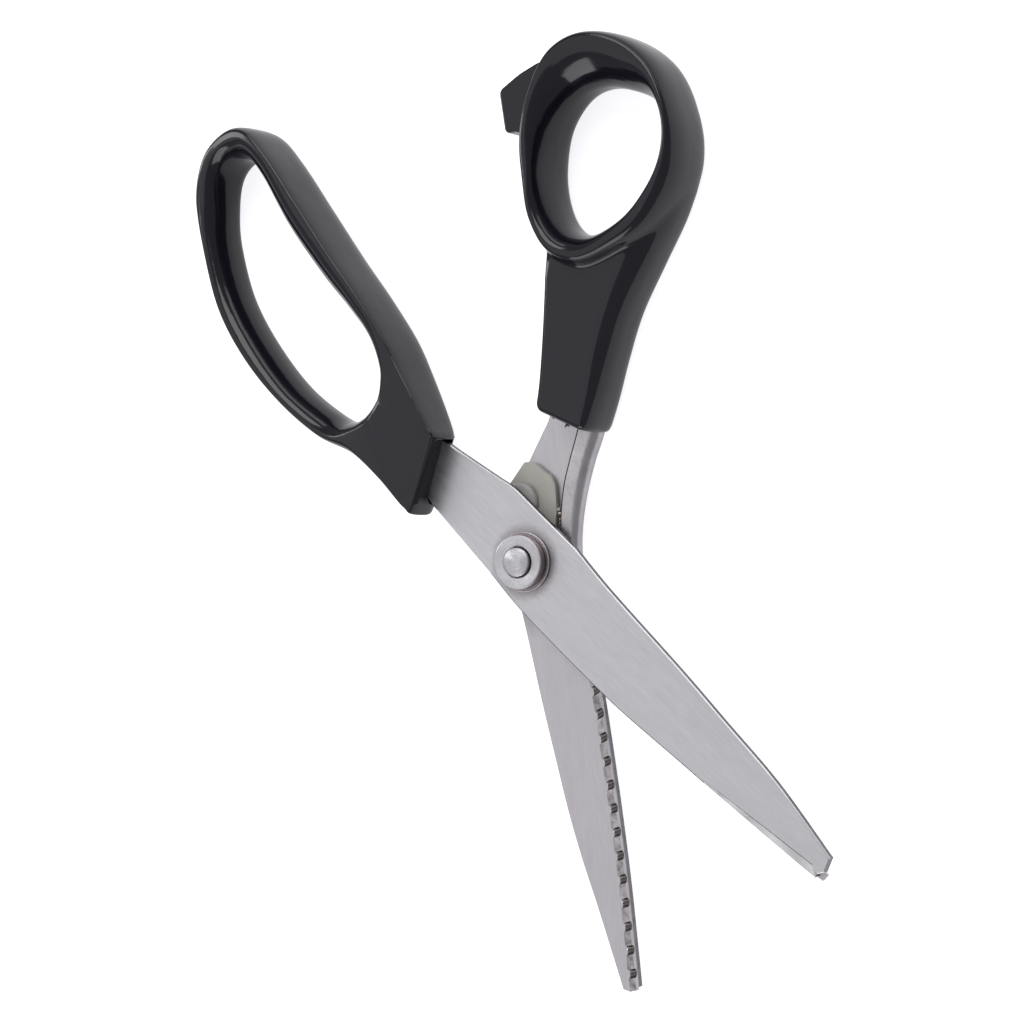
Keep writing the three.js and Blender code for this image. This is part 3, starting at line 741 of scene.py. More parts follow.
# %% Upper blade plate
BOLT_RADIUS = 3.4
BUSHING_RADIUS = 4.4
UPPER_EDGE = [(-7.9, 5.7), (-9.7, -8)]
UPPER_EDGE += down_blade([(-10.9, 0.36), (-10.2, 0.59), (-9.3, 0.83), (-8.3, 1.03)])
UPPER_SPINE = [(10.9, -8.9)]
UPPER_SPINE += down_blade([(8.9, 0.216), (6.3, 0.46), (4.3, 0.616), (1.9, 0.797), (-2.5, 0.991)])
UPPER_TANG = [(9.4, 31), (8.6, 40), (7, 46.5), (0.5, 46.5), (-3.4, 38), (-5.2, 28.8)]
CORNER_ROUND = [(11.55, 5), (11.85, 10), (11.95, 12.5), (11.75, 14.6), (11.35, 16.8)]
TIP = [(-7.4, 1.3 - BLADE_LENGTH), (-5.9, 0.1 - BLADE_LENGTH), (-3, 0.9 - BLADE_LENGTH)]
STRIP_START = 0.66          # share of the blade's length where the ground strip begins
STRIP_END = 0.97
STRIP_WIDTH = 2.3
RIM_WIDTH = 0.3
RIM_STEP = 0.03


def upper_blade():
    """The upper plate: its rim swells into the ground strip along the cutting side."""
    edge = [p for p in smooth_line(UPPER_EDGE, 120) if p.length < BLADE_LENGTH - 0.4]
    tip = [Vector(p) for p in TIP]
    back = smooth_line(UPPER_SPINE, 80)[::-1] + [Vector(p) for p in CORNER_ROUND + UPPER_TANG]
    outline = edge + tip + back
    rim_in, rim_drop, step, shaded_rim_points = [], [], [], set()
    for i, point in enumerate(outline):
        down = -point.y / BLADE_LENGTH
        grown = min(1.0, max(0.0, (down - STRIP_START) / (STRIP_END - STRIP_START))) ** 0.6
        on_strip = i < len(edge)
        # painted shadow line: before the ground strip, the cutting edge's rim keeps the painted shade
        if on_strip and grown == 0:
            shaded_rim_points.add(i)
        rim_in.append(RIM_WIDTH + (STRIP_WIDTH - RIM_WIDTH) * grown if on_strip else RIM_WIDTH)
        rim_drop.append(0.25 + 0.45 * grown if on_strip else RIM_WIDTH)
        step.append(RIM_STEP + 0.27 * grown if on_strip else RIM_STEP)
    blade = plate("upper_blade", outline, UPPER_PLATE_Z, UPPER_FACE_Z, rim_in, rim_drop, step,
                  UPPER_STEEL, shaded_rim_points)
    return carve(blade, [round_cutter(BUSHING_RADIUS + SEAT_GAP, UPPER_PLATE_Z - 1, UPPER_FACE_Z + 1)])


place(shaded(upper_blade(), 12), "upper_lever", "brushed_steel", "upper_blade_plate")

# %% Lower blade plate
LOWER_EDGE = [(13.1, -24)]
LOWER_EDGE += down_blade([(13.75, 0.337), (14.4, 0.54), (14.6, 0.74), (14.3, 0.905), (14, 1.03)])
LOWER_SPINE = [(-4.2, 18.8), (-8, 9.5), (-7.8, -1), (-5.4, -10.1)]
LOWER_SPINE += down_blade([(-2.7, 0.32), (-0.8, 0.46), (0.9, 0.58), (3.0, 0.69), (5.8, 0.81), (9.8, 0.994)])
LOWER_TANG = [(25.2, 60), (17, 60), (13.2, 42), (8.2, 32.2), (1.8, 23.7)]
LOWER_BAR_START = 29
SIDE_GAP = 0.15
BUTTON_AT = (-0.6, 14.3)
BUTTON_STEM_RADIUS = 2.0
# The neck's rows: inner x, inner y, outer x, outer y, underside.
NECK_ROWS = [
    (11.5, 2.2 - LOWER_BAR_START, 13.3, 2.6 - LOWER_BAR_START, LOWER_PLATE_Z),
    (9.8, -15, 12.9, -14.5, 2.2),
    (8.9, -1, 12.5, -1.2, 1.7),
    (9.2, 7, 13.4, 6.2, 1.4),
    (11.1, 15.6, 15.5, 13.5, 1.1),
    (13.6, 21.8, 18.6, 21, 0.8),
    (16.4, 27.8, 21.6, 26.6, 0.7),
    (20.2, 37, 26, 36, 0.7),
    (22.2, 46, 27.8, 45.4, 0.7),
]
NECK_STEPS = 96


def neck_line(pick):
    """The smooth line through the neck's rows, for one pair of their numbers."""
    return smooth_line([pick(row) for row in NECK_ROWS], NECK_STEPS)


def lower_blade():
    """The lower plate, which leaves room for the neck beside it."""
    neck_side = [Vector((p.x - SIDE_GAP, p.y)) for p in neck_line(lambda row: row[:2])][::2]
    edge = [p for p in smooth_line(LOWER_EDGE, 120) if p.y < neck_side[0].y - 2 and p.length < BLADE_LENGTH]
    corner = [Vector((11.6, -BLADE_LENGTH))]
    spine = smooth_line(LOWER_SPINE, 120)
    shoulder = [Vector((neck_side[0].x, neck_side[0].y - 1.2))]
    outline = [Vector(p) for p in LOWER_TANG] + spine + corner + edge[::-1] + shoulder + neck_side
    rim = [0.2] * len(outline)
    step = [0.02] * len(outline)
    blade = plate("lower_blade", outline, LOWER_PLATE_Z, LOWER_FACE_Z, rim, rim, step, LOWER_STEEL)
    low, high = LOWER_PLATE_Z - 1, LOWER_FACE_Z + 1
    bore = round_cutter(BUSHING_RADIUS + SEAT_GAP, low, high)
    stem_hole = round_cutter(BUTTON_STEM_RADIUS + SEAT_GAP, low, high, *BUTTON_AT, 40)
    return carve(blade, [bore, stem_hole])


place(shaded(lower_blade(), 12), "lower_lever", "brushed_steel", "lower_blade_plate")

# %% [markdown]
# ## Toothed bars
# Pinking shears cut because two scalloped bars mesh. A round wheel cuts half-round grooves in the lower
# bar, along arcs about the pivot, and the upper bar carries ridges that fit them. A bar is a skin over
# sections at each corner of that tooth profile, where the section follows the arc at its own radius.

# %% Tooth helpers
TOOTH_PITCH = 5.33
LAST_TOOTH = 3.4
BAR_WIDTH = 1.8
BAR_OVERHANG = 0.5
UPPER_BAR_START = 27
GROOVE_RADIUS = 1.05
RIDGE_RADIUS = 0.9
END_TOOTH = BLADE_LENGTH - LAST_TOOTH
BAR_END = BLADE_LENGTH + BAR_OVERHANG
TOOTH_COUNT = 1 + int((END_TOOTH - LOWER_BAR_START - GROOVE_RADIUS) / TOOTH_PITCH)
TOOTH_STEPS = 16
ACROSS_STEPS = 6


def at_radius(edge, radius):
    """Where a blade's edge crosses a circle about the pivot."""
    near, far = 0.0, 1.0
    for _ in range(30):
        middle = (near + far) / 2
        if curve_point(edge, middle).length < radius:
            near = middle
        else:
            far = middle
    return curve_point(edge, (near + far) / 2)


def tooth_stations(start, end, tooth_size):
    """Distances from the pivot along a bar, each with the height of the tooth there."""
    stations = [(start, 0.0)]
    for tooth in reversed(range(TOOTH_COUNT)):
        middle = END_TOOTH - tooth * TOOTH_PITCH
        for i in range(TOOTH_STEPS + 1):
            across = -math.cos(math.pi * i / TOOTH_STEPS)
            stations.append((middle + across * tooth_size, tooth_size * math.sqrt(max(0, 1 - across**2))))
    return stations + [(end, 0.0)]


def toothed_bar(name, outer, inner, start, end, tooth_size, heights, *finishes):
    """A bar along a blade's edge, with teeth on arcs about the pivot. heights(tooth) gives bottom, top."""
    outer = [Vector(p) for p in outer]
    inner = [Vector(p) for p in inner]
    rings = []
    for radius, tooth in tooth_stations(start, end, tooth_size):
        bottom, top = heights(tooth)
        a = math.atan2(*reversed(at_radius(outer, radius)))
        b = math.atan2(*reversed(at_radius(inner, radius)))
        angles = [a + (b - a) * i / ACROSS_STEPS for i in range(ACROSS_STEPS + 1)]
        arc = [(radius * math.cos(angle), radius * math.sin(angle)) for angle in angles]
        rings.append([(*p, bottom) for p in arc] + [(*p, top) for p in reversed(arc)])
    return skin(name, rings, False, *finishes)


def paint(piece, index, chosen):
    """Gives the faces whose normal is chosen another of the piece's finishes."""
    for face in piece.data.polygons:
        if chosen(face.normal):
            face.material_index = index


# %% Upper toothed bar
def shifted(points, dx):
    """Points moved sideways."""
    return [(x + dx, y) for x, y in points]


def upper_bar():
    """The upper bar: its ridges hang down."""
    top = UPPER_PLATE_Z - SEAT_GAP
    land = bottom_of("upper_toothed_bar") + RIDGE_RADIUS
    bar = toothed_bar("upper_teeth", UPPER_EDGE, shifted(UPPER_EDGE, BAR_WIDTH), UPPER_BAR_START, BAR_END,
                      RIDGE_RADIUS, lambda tooth: (land - tooth, top), SIDE_STEEL)
    return rounded_edges(bar, 0.07)


place(shaded(upper_bar()), "upper_lever", "ground_steel", "upper_toothed_bar")

# %% [markdown]
# The lower bar runs on past the pivot as the neck: a round-backed rail that carries the blade's load into
# the thumb handle. Its inner top edge is flat and its outer side is rounded.

# %% Lower toothed bar and neck
NECK_ROUND = 0.5            # how far the round goes in, as a share of the neck's width


def neck_section(inner, outer, underside):
    """One cross-section of the neck: flat inside and on top, round outside."""
    width = (outer - inner).length
    middle, half = (underside + LOWER_LAND_Z) / 2, (LOWER_LAND_Z - underside) / 2

    def at(reach, z):
        p = inner.lerp(outer, reach / width)
        return (p.x, p.y, z)

    side = []
    for i in range(25):
        angle = math.radians(-90 + 7.5 * i)
        side.append(at(width - NECK_ROUND * width * (1 - math.cos(angle)), middle + half * math.sin(angle)))
    return [at(0, LOWER_LAND_Z), at(0, underside)] + side


def lower_bar():
    """The lower bar, grooved from above, joined to the neck."""
    blade = toothed_bar("lower_teeth", shifted(LOWER_EDGE, -BAR_WIDTH), LOWER_EDGE, LOWER_BAR_START, BAR_END,
                        GROOVE_RADIUS, lambda tooth: (LOWER_FACE_Z + SEAT_GAP, LOWER_LAND_Z - tooth),
                        TOOTHED_STEEL, SIDE_STEEL, NECK_STEEL)
    paint(blade, 1, lambda normal: abs(normal.z) < 0.5 and abs(normal.x) > 0.75)
    inner_line, outer_line = neck_line(lambda row: row[:2]), neck_line(lambda row: row[2:4])
    rows = zip(inner_line, outer_line, neck_line(lambda row: (row[4], 0)))
    rings = [neck_section(inner, outer, underside.x) for inner, outer, underside in rows]
    neck = skin("neck", rings, False, TOOTHED_STEEL, SIDE_STEEL, NECK_STEEL)
    paint(neck, 1, lambda normal: True)
    paint(neck, 2, lambda normal: normal.z > 0.95)
    return rounded_edges(carve(blade, [neck], "UNION"), 0.12)


place(shaded(lower_bar()), "lower_lever", "ground_steel", "lower_toothed_bar")

# %% [markdown]
# A near-black cord of painted shade lies where the neck was brazed to the plate, along the neck's inner edge.
# Beside the teeth, the grinding wheel has left a small burr at the end of every groove, whose bright finish
# is a painted glint.

# %% Shade cord at the brazed joint
CORD_RADIUS = 0.2
CORD_START, CORD_END = -2, 37
EDGE_DROP = 0.12            # how far the seam's middle lies below the land, and the burrs' above the plate


def tube(name, path, radius, finish, around=10):
    """A thin closed tube along a path of points."""
    rings = []
    for i, here in enumerate(path):
        ahead = (path[min(i + 1, len(path) - 1)] - path[max(i - 1, 0)]).normalized()
        sideways = ahead.cross(Vector((0, 0, 1))).normalized()
        up = sideways.cross(ahead)
        angles = [2 * math.pi * j / around for j in range(around)]
        rings.append([here + sideways * radius * math.cos(a) + up * radius * math.sin(a) for a in angles])
    return skin(name, rings, False, finish)


def joint_shade_cord():
    """The cord of painted shade lies half under the neck's inner top edge."""
    inner = [p for p in neck_line(lambda row: row[:2]) if CORD_START < p.y < CORD_END]
    path = [Vector((p.x - CORD_RADIUS * 0.8, p.y, LOWER_LAND_Z - EDGE_DROP)) for p in inner]
    return tube("joint_shade_cord", path, CORD_RADIUS, JOINT_SHADE_BLACK)


place(shaded(joint_shade_cord(), 60), "lower_lever", "ground_steel")

# %% Burrs
chance = random.Random(8)   # drawn from in order: groove burrs first, then weld beads
LUMP_HEIGHT = 0.14          # share of a bead's radius that its skin rises and falls
BEAD_FLATNESS = 0.8
BURR_LEAST, BURR_MOST = 0.26, 0.36
BURR_BACK = 0.5             # how far a burr lies from the groove's middle, towards the pivot


def lumpy_bead(x, y, z, radius):
    """A small ball with an uneven skin, as points and faces."""
    shaper = bmesh.new()
    bmesh.ops.create_icosphere(shaper, subdivisions=3, radius=radius)
    tilt = Vector((chance.uniform(2, 5), chance.uniform(2, 5), chance.uniform(2, 5)))
    for vertex in shaper.verts:
        swell = 1 + LUMP_HEIGHT * math.sin(vertex.co.dot(tilt) * 2.2 / radius)
        flattened = Vector((vertex.co.x, vertex.co.y, vertex.co.z * BEAD_FLATNESS))
        vertex.co = flattened * swell + Vector((x, y, z))
    points = [v.co.copy() for v in shaper.verts]
    faces = [tuple(v.index for v in f.verts) for f in shaper.faces]
    shaper.free()
    return points, faces


def beads(name, places, finish):
    """Several lumpy beads as one piece, from (x, y, z, radius)."""
    points, faces = [], []
    for bead in places:
        more_points, more_faces = lumpy_bead(*bead)
        faces += [tuple(i + len(points) for i in face) for face in more_faces]
        points += more_points
    return new_piece(name, points, faces, [finish])


def groove_burrs():
    """The wheel throws up a burr where each groove runs out at the plate; its bright finish is a painted
    glint.
    """
    inner = [Vector(p) for p in shifted(LOWER_EDGE, -BAR_WIDTH - 0.1)]
    places = []
    for tooth in range(TOOTH_COUNT):
        spot = at_radius(inner, END_TOOTH - tooth * TOOTH_PITCH)
        radius = chance.uniform(BURR_LEAST, BURR_MOST)
        places.append((spot.x, spot.y + BURR_BACK, LOWER_FACE_Z + EDGE_DROP, radius))
    # painted glint: the burrs take the brightened ground steel
    return beads("groove_burrs", places, GROUND_AND_HIGHLIGHT_STEEL)


place(shaded(groove_burrs(), 60), "lower_lever", "ground_steel")

# %% [markdown]
# ## Pivot
# The bolt comes up from below through a bushing, the nut draws the plates together and the bolt's end is
# turned flush and bright. Round parts are turned on a lathe, and so are these: a profile spun about Z.

# %% Turned helper
TURN_STEPS = 128


def turned(name, profile, *finishes, steps=TURN_STEPS):
    """A round piece from a profile of (radius, z). Points on the axis close it."""
    vertices, faces, rows = [], [], []
    for radius, z in profile:
        if radius == 0:
            vertices.append((0, 0, z))
            rows.append([len(vertices) - 1] * steps)
        else:
            first = len(vertices)
            angles = [2 * math.pi * i / steps for i in range(steps)]
            vertices += [(radius * math.cos(a), radius * math.sin(a), z) for a in angles]
            rows.append(list(range(first, first + steps)))
    hollow = profile[0][0] > 0
    for low, high in zip(rows, rows[1:] + rows[:1] if hollow else rows[1:]):
        for i in range(steps):
            k = (i + 1) % steps
            corners = [low[i], low[k], high[k], high[i]]
            kept = list(dict.fromkeys(corners))
            if len(kept) > 2:
                faces.append(tuple(kept))
    return new_piece(name, vertices, faces, finishes)


def ring_profile(inner, outer, bottom, top, bevel, inner_bevel=0.0):
    """The profile of a flat ring with bevelled edges, rounded in two steps."""
    half = bevel * 0.3
    profile = [(inner, bottom), (outer - bevel, bottom), (outer - half, bottom + half)]
    profile += [(outer, bottom + bevel), (outer, top - bevel)]
    profile += [(outer - half, top - half), (outer - bevel, top)]
    if inner_bevel:
        return profile + [(inner + inner_bevel, top), (inner, top - inner_bevel)]
    return profile + [(inner, top)]


def place_on_pivot(piece, slot, *nodes):
    """Round pieces turn with the lower lever and need no turning into place."""
    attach(piece, "lower_lever")
    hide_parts(*nodes)
    print(piece.name, "rides on lower_lever with", len(piece.data.polygons), "faces")


# %% Bolt, nut and washers
BOLT_HEAD_RADIUS = 7.0
BOLT_HEAD_HEIGHT = 1.9
NUT_RADIUS = 6.35
WASHER_RADIUS = 7.1
SPRING_RADIUS = 6.0
SPACER_RADIUS = 7.0
NUT_DISH = 0.2              # how much the nut's face falls towards the bolt
BOLT_ROUND = 0.35
BOLT_HOLLOW = 0.16          # how much the bolt's end falls towards its middle
BOLT_END_Z = top_of("pivot_bolt")


def bolt():
    """The bolt: a low head below, and an end that is hollowed a little."""
    head = [(0, 0), (BOLT_HEAD_RADIUS - BOLT_ROUND, 0), (BOLT_HEAD_RADIUS - 0.1, 0.1)]
    head += [(BOLT_HEAD_RADIUS, BOLT_ROUND), (BOLT_HEAD_RADIUS, BOLT_HEAD_HEIGHT - 0.1)]
    head += [(BOLT_HEAD_RADIUS - 0.1, BOLT_HEAD_HEIGHT), (BOLT_RADIUS, BOLT_HEAD_HEIGHT)]
    end = [(BOLT_RADIUS, BOLT_END_Z - BOLT_ROUND), (BOLT_RADIUS - 0.1, BOLT_END_Z - 0.12)]
    end += [(BOLT_RADIUS - BOLT_ROUND, BOLT_END_Z), (0, BOLT_END_Z - BOLT_HOLLOW)]
    return turned("bolt", head + end, NUT_STEEL)


def nut():
    """The nut: a ring with a dished face and a side in painted shade."""
    low, high = bottom_of("pivot_nut"), top_of("pivot_nut")
    profile = ring_profile(BOLT_RADIUS + 0.2, NUT_RADIUS, low, high, 0.4, 0.3)
    profile[-2:] = [(radius, z - NUT_DISH) for radius, z in profile[-2:]]
    piece = turned("nut", profile, NUT_STEEL, SHADED_TURNED_STEEL)
    # painted shade: the nut's side takes the darker copy of the turned steel
    paint(piece, 1, lambda normal: abs(normal.z) < 0.3)
    return piece


def washer():
    """The washer: in painted shade, with its bevel in the plain turned steel."""
    low, high = bottom_of("nut_washer"), top_of("nut_washer")
    piece = turned("nut_washer_ring", ring_profile(BOLT_RADIUS + SEAT_GAP, WASHER_RADIUS, low, high, 0.22),
                   SHADED_TURNED_STEEL, NUT_STEEL)
    # painted shade on the washer's faces; its bevel keeps the plain turned steel
    paint(piece, 1, lambda normal: 0.2 < normal.z < 0.97)
    return piece


def place_ring(name, node, inner, outer, finish):
    """Makes and places a plain ring that stands for one CAD node."""
    ring = turned(name, ring_profile(inner + SEAT_GAP, outer, bottom_of(node), top_of(node), 0.12), finish)
    place_on_pivot(shaded(ring), "ground_steel", node)


place_on_pivot(shaded(bolt()), "turned_steel", "pivot_bolt")
place_on_pivot(shaded(nut()), "turned_steel", "pivot_nut")
place_on_pivot(shaded(washer()), "turned_steel", "nut_washer")
# painted shade: the spring ring and the spacer take the darker copy of the turned steel
place_ring("spring_ring", "spring_washer", BOLT_RADIUS, SPRING_RADIUS, SHADED_TURNED_STEEL)
place_ring("bushing", "pivot_bushing", BOLT_RADIUS, BUSHING_RADIUS, NUT_STEEL)
place_ring("spacer", "pivot_spacer", BUSHING_RADIUS, SPACER_RADIUS, SHADED_TURNED_STEEL)

# %% [markdown]
# ## Ride pad and button
# The pad keeps the two levers parallel behind the pivot. It is a nylon plate with softened edges, held by
# a button whose shallow dome the upper lever slides on.

# %% Ride pad
PAD_REACH = SPACER_RADIUS + 1.2
PAD_CORNERS = [(-7.9, 9.6), (-4.4, 18.2), (1.2, 23.6), (4.1, 22.9), (8.1, 19.1), (8.9, 17.1), (8.5, 11)]


def softened(corners, amount=0.6, steps=4):
    """Rounds each corner of an outline over a short length."""
    line = []
    for i, corner in enumerate(corners):
        before = corner + (corners[i - 1] - corner).normalized() * amount
        after = corner + (corners[(i + 1) % len(corners)] - corner).normalized() * amount
        for step in range(steps + 1):
            t = step / steps
            line.append(before.lerp(corner, t).lerp(corner.lerp(after, t), t))
    return line


def ride_pad():
    """The pad, hollowed to clear the spacer and softened along its top edge."""
    hollow = [math.radians(35 + 5 * i) for i in range(26)]
    arc = [Vector((PAD_REACH * math.cos(a), PAD_REACH * math.sin(a))) for a in hollow]
    outline = arc + softened([arc[-1]] + [Vector(p) for p in PAD_CORNERS] + [arc[0]])[5:-5]
    low, high = bottom_of("ride_pad"), top_of("ride_pad")
    rings = []
    for deep, z in ((0.1, low), (0, low + 0.1), (0, high - 0.4), (0.12, high - 0.14), (0.4, high)):
        rings.append(level(inset(outline, [deep] * len(outline)), z))
    pad = skin("pad", rings, False, PAD_NYLON)
    return carve(pad, [round_cutter(BUTTON_STEM_RADIUS + SEAT_GAP, low - 1, high + 1, *BUTTON_AT, 40)])


def ride_button():
    """The button: a stem through the pad and a shallow dome."""
    seat, top = top_of("ride_pad") + SEAT_GAP, top_of("ride_button")
    near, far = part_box("ride_button")
    radius = (far.x - near.x) / 2 / MM
    profile = [(0, LOWER_PLATE_Z), (BUTTON_STEM_RADIUS, LOWER_PLATE_Z)]
    profile += [(BUTTON_STEM_RADIUS, seat), (radius, seat)]
    for i in range(9):
        angle = math.radians(90 * i / 8)
        profile.append((radius - 0.9 * (1 - math.cos(angle)), top - 0.8 + 0.8 * math.sin(angle)))
    profile.append((0, top))
    button = turned("button", profile, BUTTON_NYLON, steps=72)
    button.data.transform(Matrix.Translation((BUTTON_AT[0] * MM, BUTTON_AT[1] * MM, 0)))
    return button


place(shaded(ride_pad()), "lower_lever", "nylon", "ride_pad")
place(shaded(ride_button()), "lower_lever", "button_nylon", "ride_button")

# %% [markdown]
# ## Handles
# Each handle is moulded round its lever's tang. A loop of cross-sections makes the ring: every section is
# widest near mid-height, flat on the table side and rounded on the front, more on the side that fingers
# touch. Smooth curves through a few stations give the sections between them.

# %% Handle sections
FULLNESS = 0.8              # below 1 a rounding is boxier than an ellipse, above 1 it is slacker
BOWL_FULLNESS = 1.1         # for the side that fingers touch
CREST = 0.4                 # least width left flat between two roundings
UNDER_ROUND = 2.5
WIDEST_AT = 0.45            # share of the height where a section is widest
QUARTER = [math.radians(90 * i / 9) for i in range(9)]
FLAT_STEPS = 4


def handle_section(outer, inner, base, top, round_in, round_out, bowl):
    """One cross-section, from the hole's side to the outer side, as points in order."""
    width = (outer - inner).length
    fit = min(1.0, (width - CREST) / (round_in + round_out))
    under = min(UNDER_ROUND, (width - CREST) / 2)
    middle = base + (top - base) * WIDEST_AT

    def at(reach, z):
        p = inner.lerp(outer, reach / width)
        return Vector((p.x, p.y, z))

    def corner(size, height, mirrored, fullness=FULLNESS):
        points = []
        for angle in QUARTER:
            reach = size * (1 - math.cos(angle) ** fullness)
            z = middle + height * math.sin(angle) ** fullness
            points.append(at(width - reach if mirrored else reach, z))
        return points

    def flat(start, end):
        return [start.lerp(end, i / FLAT_STEPS) for i in range(FLAT_STEPS + 1)]

    front_out = corner(round_out * fit, top - middle, True)
    front_in = corner(round_in * fit, top - middle, False, bowl)
    back_in = corner(under, base - middle, False)
    back_out = corner(under, base - middle, True)
    front = flat(at(width - round_out * fit, top), at(round_in * fit, top))
    back = flat(at(under, base), at(width - under, base))
    return front_out + front + front_in[::-1] + back_in[1:] + back + back_out[1:][::-1]


def handle_sections(stations, steps, closed, bowl=FULLNESS):
    """Sections at even steps along smooth curves through stations of (outer x, outer y, inner x, inner y,
    base, top, inner rounding, outer rounding)."""
    ends = "loop" if closed else "mirrored"
    outer = [Vector((s[0], s[1], s[5])) for s in stations]
    inner = [Vector((s[2], s[3], s[4])) for s in stations]
    rounds = [Vector((s[6], s[7], 0)) for s in stations]
    sections = []
    for i in range(steps if closed else steps + 1):
        o, n, r = (curve_point(line, i / steps, ends) for line in (outer, inner, rounds))
        sections.append(handle_section(o.xy, n.xy, n.z, o.z, r.x, r.y, bowl))
    return sections


# %% Finger handle
RING_STEPS = 330
GRIP, MOUTH_HEIGHT, MOUTH_BASE = HANDLE_TOP, 16.6, 5.2
BACK_BASE, BACK_TOP = 1.8, 14.4
FINGER_STATIONS = [
    (10.6, 34.4, 7.6, 54.6, MOUTH_BASE, MOUTH_HEIGHT, 3, 1),
    (12.2, 38.4, 10.4, 56, 3.6, MOUTH_HEIGHT, 3, 1),
    (16.4, 48.6, 13.6, 59.2, 1.2, MOUTH_HEIGHT + 0.4, 4, 1),
    (21.2, 59.6, 16.6, 65.4, 0, GRIP - 0.4, 5, 1),
    (25.1, 72.1, 18.4, 74.5, 0, GRIP, 6, 1),
    (28.2, 85, 20, 86, 0, GRIP, 7, 1),
    (32.4, 100.5, 23.6, 101.4, 0, GRIP, 7, 1),
    (36.4, 115.6, 28.8, 115, 0, GRIP, 6, 1),
    (37.4, 125.6, 30.2, 122.4, 0, GRIP - 0.4, 5, 1.4),
    (32.8, 131.6, 27.4, 126.4, 0.6, GRIP - 1.4, 4, 2),
    (23.6, 134.2, 22.2, 126.8, 1.2, GRIP - 2.6, 4, 2.4),
    (13, 130.2, 16.2, 123, BACK_BASE, BACK_TOP, 4, 2.8),
    (4, 119, 9.2, 116.6, BACK_BASE, BACK_TOP, 5, 1.8),
    (-4.7, 106, 1.4, 105.2, BACK_BASE, BACK_TOP, 5.4, 1.6),
    (-9.6, 92, -3.4, 91.4, BACK_BASE, BACK_TOP, 5.4, 1.6),
    (-11.6, 77, -5.8, 76.6, BACK_BASE, BACK_TOP, 5.4, 1.6),
    (-11, 62.5, -4.6, 62.6, BACK_BASE + 0.6, BACK_TOP + 0.4, 5, 1.6),
    (-7.8, 51, -1.8, 57, 3.4, MOUTH_HEIGHT - 0.6, 3, 2.4),
    (-7.2, 40, 1.6, 54.8, 4.4, MOUTH_HEIGHT, 3, 1.6),
    (-8.1, 30, 3.6, 54.3, MOUTH_BASE, MOUTH_HEIGHT, 3, 1),
    (-6.4, 28.6, 4.8, 54.2, MOUTH_BASE, MOUTH_HEIGHT, 3, 1),
    (8.8, 33.6, 6.4, 54.4, MOUTH_BASE, MOUTH_HEIGHT, 3, 1),
]
HANDLE_WALL = 2.0
MOUTH_DEPTH = 1.5           # how far each mouth is hollowed back from its rim
SLOT_GAP = 0.3
FINGER_RECESS = [(-6, 27), (10.4, 32.5), (10, 36), (9, 34 + MOUTH_DEPTH), (-4.6, 29 + MOUTH_DEPTH)]


def block(outline, bottom, top):
    """A plain tool with an outline, for cutting recesses."""
    points = [Vector(p) for p in outline]
    return skin("cutter", [level(points, bottom), level(points, top)], False)


def widened(outline, gap):
    """Moves each point of an outline away from its middle."""
    points = [Vector(p) for p in outline]
    middle = sum(points, Vector((0, 0))) / len(points)
    return [p + (p - middle).normalized() * gap for p in points]


def finger_handle():
    """The long loop, with a mouth that the upper tang goes into."""
    sections = handle_sections(FINGER_STATIONS, RING_STEPS, True, BOWL_FULLNESS)
    body = skin("finger_loop", sections, True, BLACK_PLASTIC)
    recess = block(FINGER_RECESS, MOUTH_BASE + HANDLE_WALL, MOUTH_HEIGHT - HANDLE_WALL)
    slot_line = [Vector((14, 26))] + widened(UPPER_TANG, 2 * SLOT_GAP) + [Vector((-8, 24))]
    slot = block(slot_line, UPPER_PLATE_Z - SLOT_GAP, UPPER_FACE_Z + SLOT_GAP)
    return carve(body, [recess, slot])


place(shaded(finger_handle(), 32), "upper_lever", "black_plastic", "finger_handle")

# %% Thumb handle
THUMB_PLAN = [
    (15.4, 88, 20.6, 87.4, 2.4, 2), (16.4, 97.6, 22.8, 96.6, 4, 1.6), (20.4, 107.4, 26.6, 102, 6.4, 1.4),
    (26.8, 115.2, 31.4, 105, 9.6, 1.4), (35.4, 117.7, 37.2, 105.2, 10.6, 1.6),
    (44.8, 114.9, 43.6, 102.8, 9, 2.2), (52, 108.4, 49.2, 99.2, 6, 3), (55.7, 99.2, 52.4, 94.2, 3, 3.6),
    (56.7, 88.5, 52.2, 88.2, 1.8, 3.6), (54, 78.8, 49.2, 82, 1.6, 3.8), (46.4, 70, 43, 75.6, 1.6, 3.6),
    (37, 66, 36, 72.8, 3, 2.8), (27.4, 64.6, 29.4, 72, 4.4, 2.2), (19.8, 69, 24, 74.6, 4.8, 1.8),
    (16.2, 77.8, 21.2, 80, 4, 1.4),
]
THUMB_STATIONS = [(*row[:4], 0, HANDLE_TOP, *row[4:]) for row in THUMB_PLAN]
SHANK_HEIGHT = 14
SHANK_PLAN = [
    (23, 26.6, 10, 34.4, 1, 2.4), (26.8, 34, 11.6, 39.6, 1, 3.4), (31, 43.4, 13.2, 46.4, 1, 4.8),
    (36, 53.2, 14.8, 54, 1, 6), (43.2, 63.2, 16.4, 62.4, 1, 8.6), (49.6, 71.6, 17.6, 69, 1, 10),
    (54, 79, 19.4, 76, 1, 10),
]
SHANK_STATIONS = [(*row[:4], 0, SHANK_HEIGHT, *row[4:]) for row in SHANK_PLAN]
SHANK_STEPS = 120
SPUR_OUTLINE = [(9.5, 110.3), (9.8, 99.9), (12.8, 99.8), (17, 97), (23, 104), (26, 110), (25.4, 114.4),
                (21, 114.6), (15.6, 113.1)]
SPUR_BASE, SPUR_TOP = 2, 11
SPUR_RINGS = ((0.5, SPUR_BASE), (0, SPUR_BASE + 0.5), (0, SPUR_TOP - 0.6), (0.18, SPUR_TOP - 0.18),
              (0.6, SPUR_TOP))
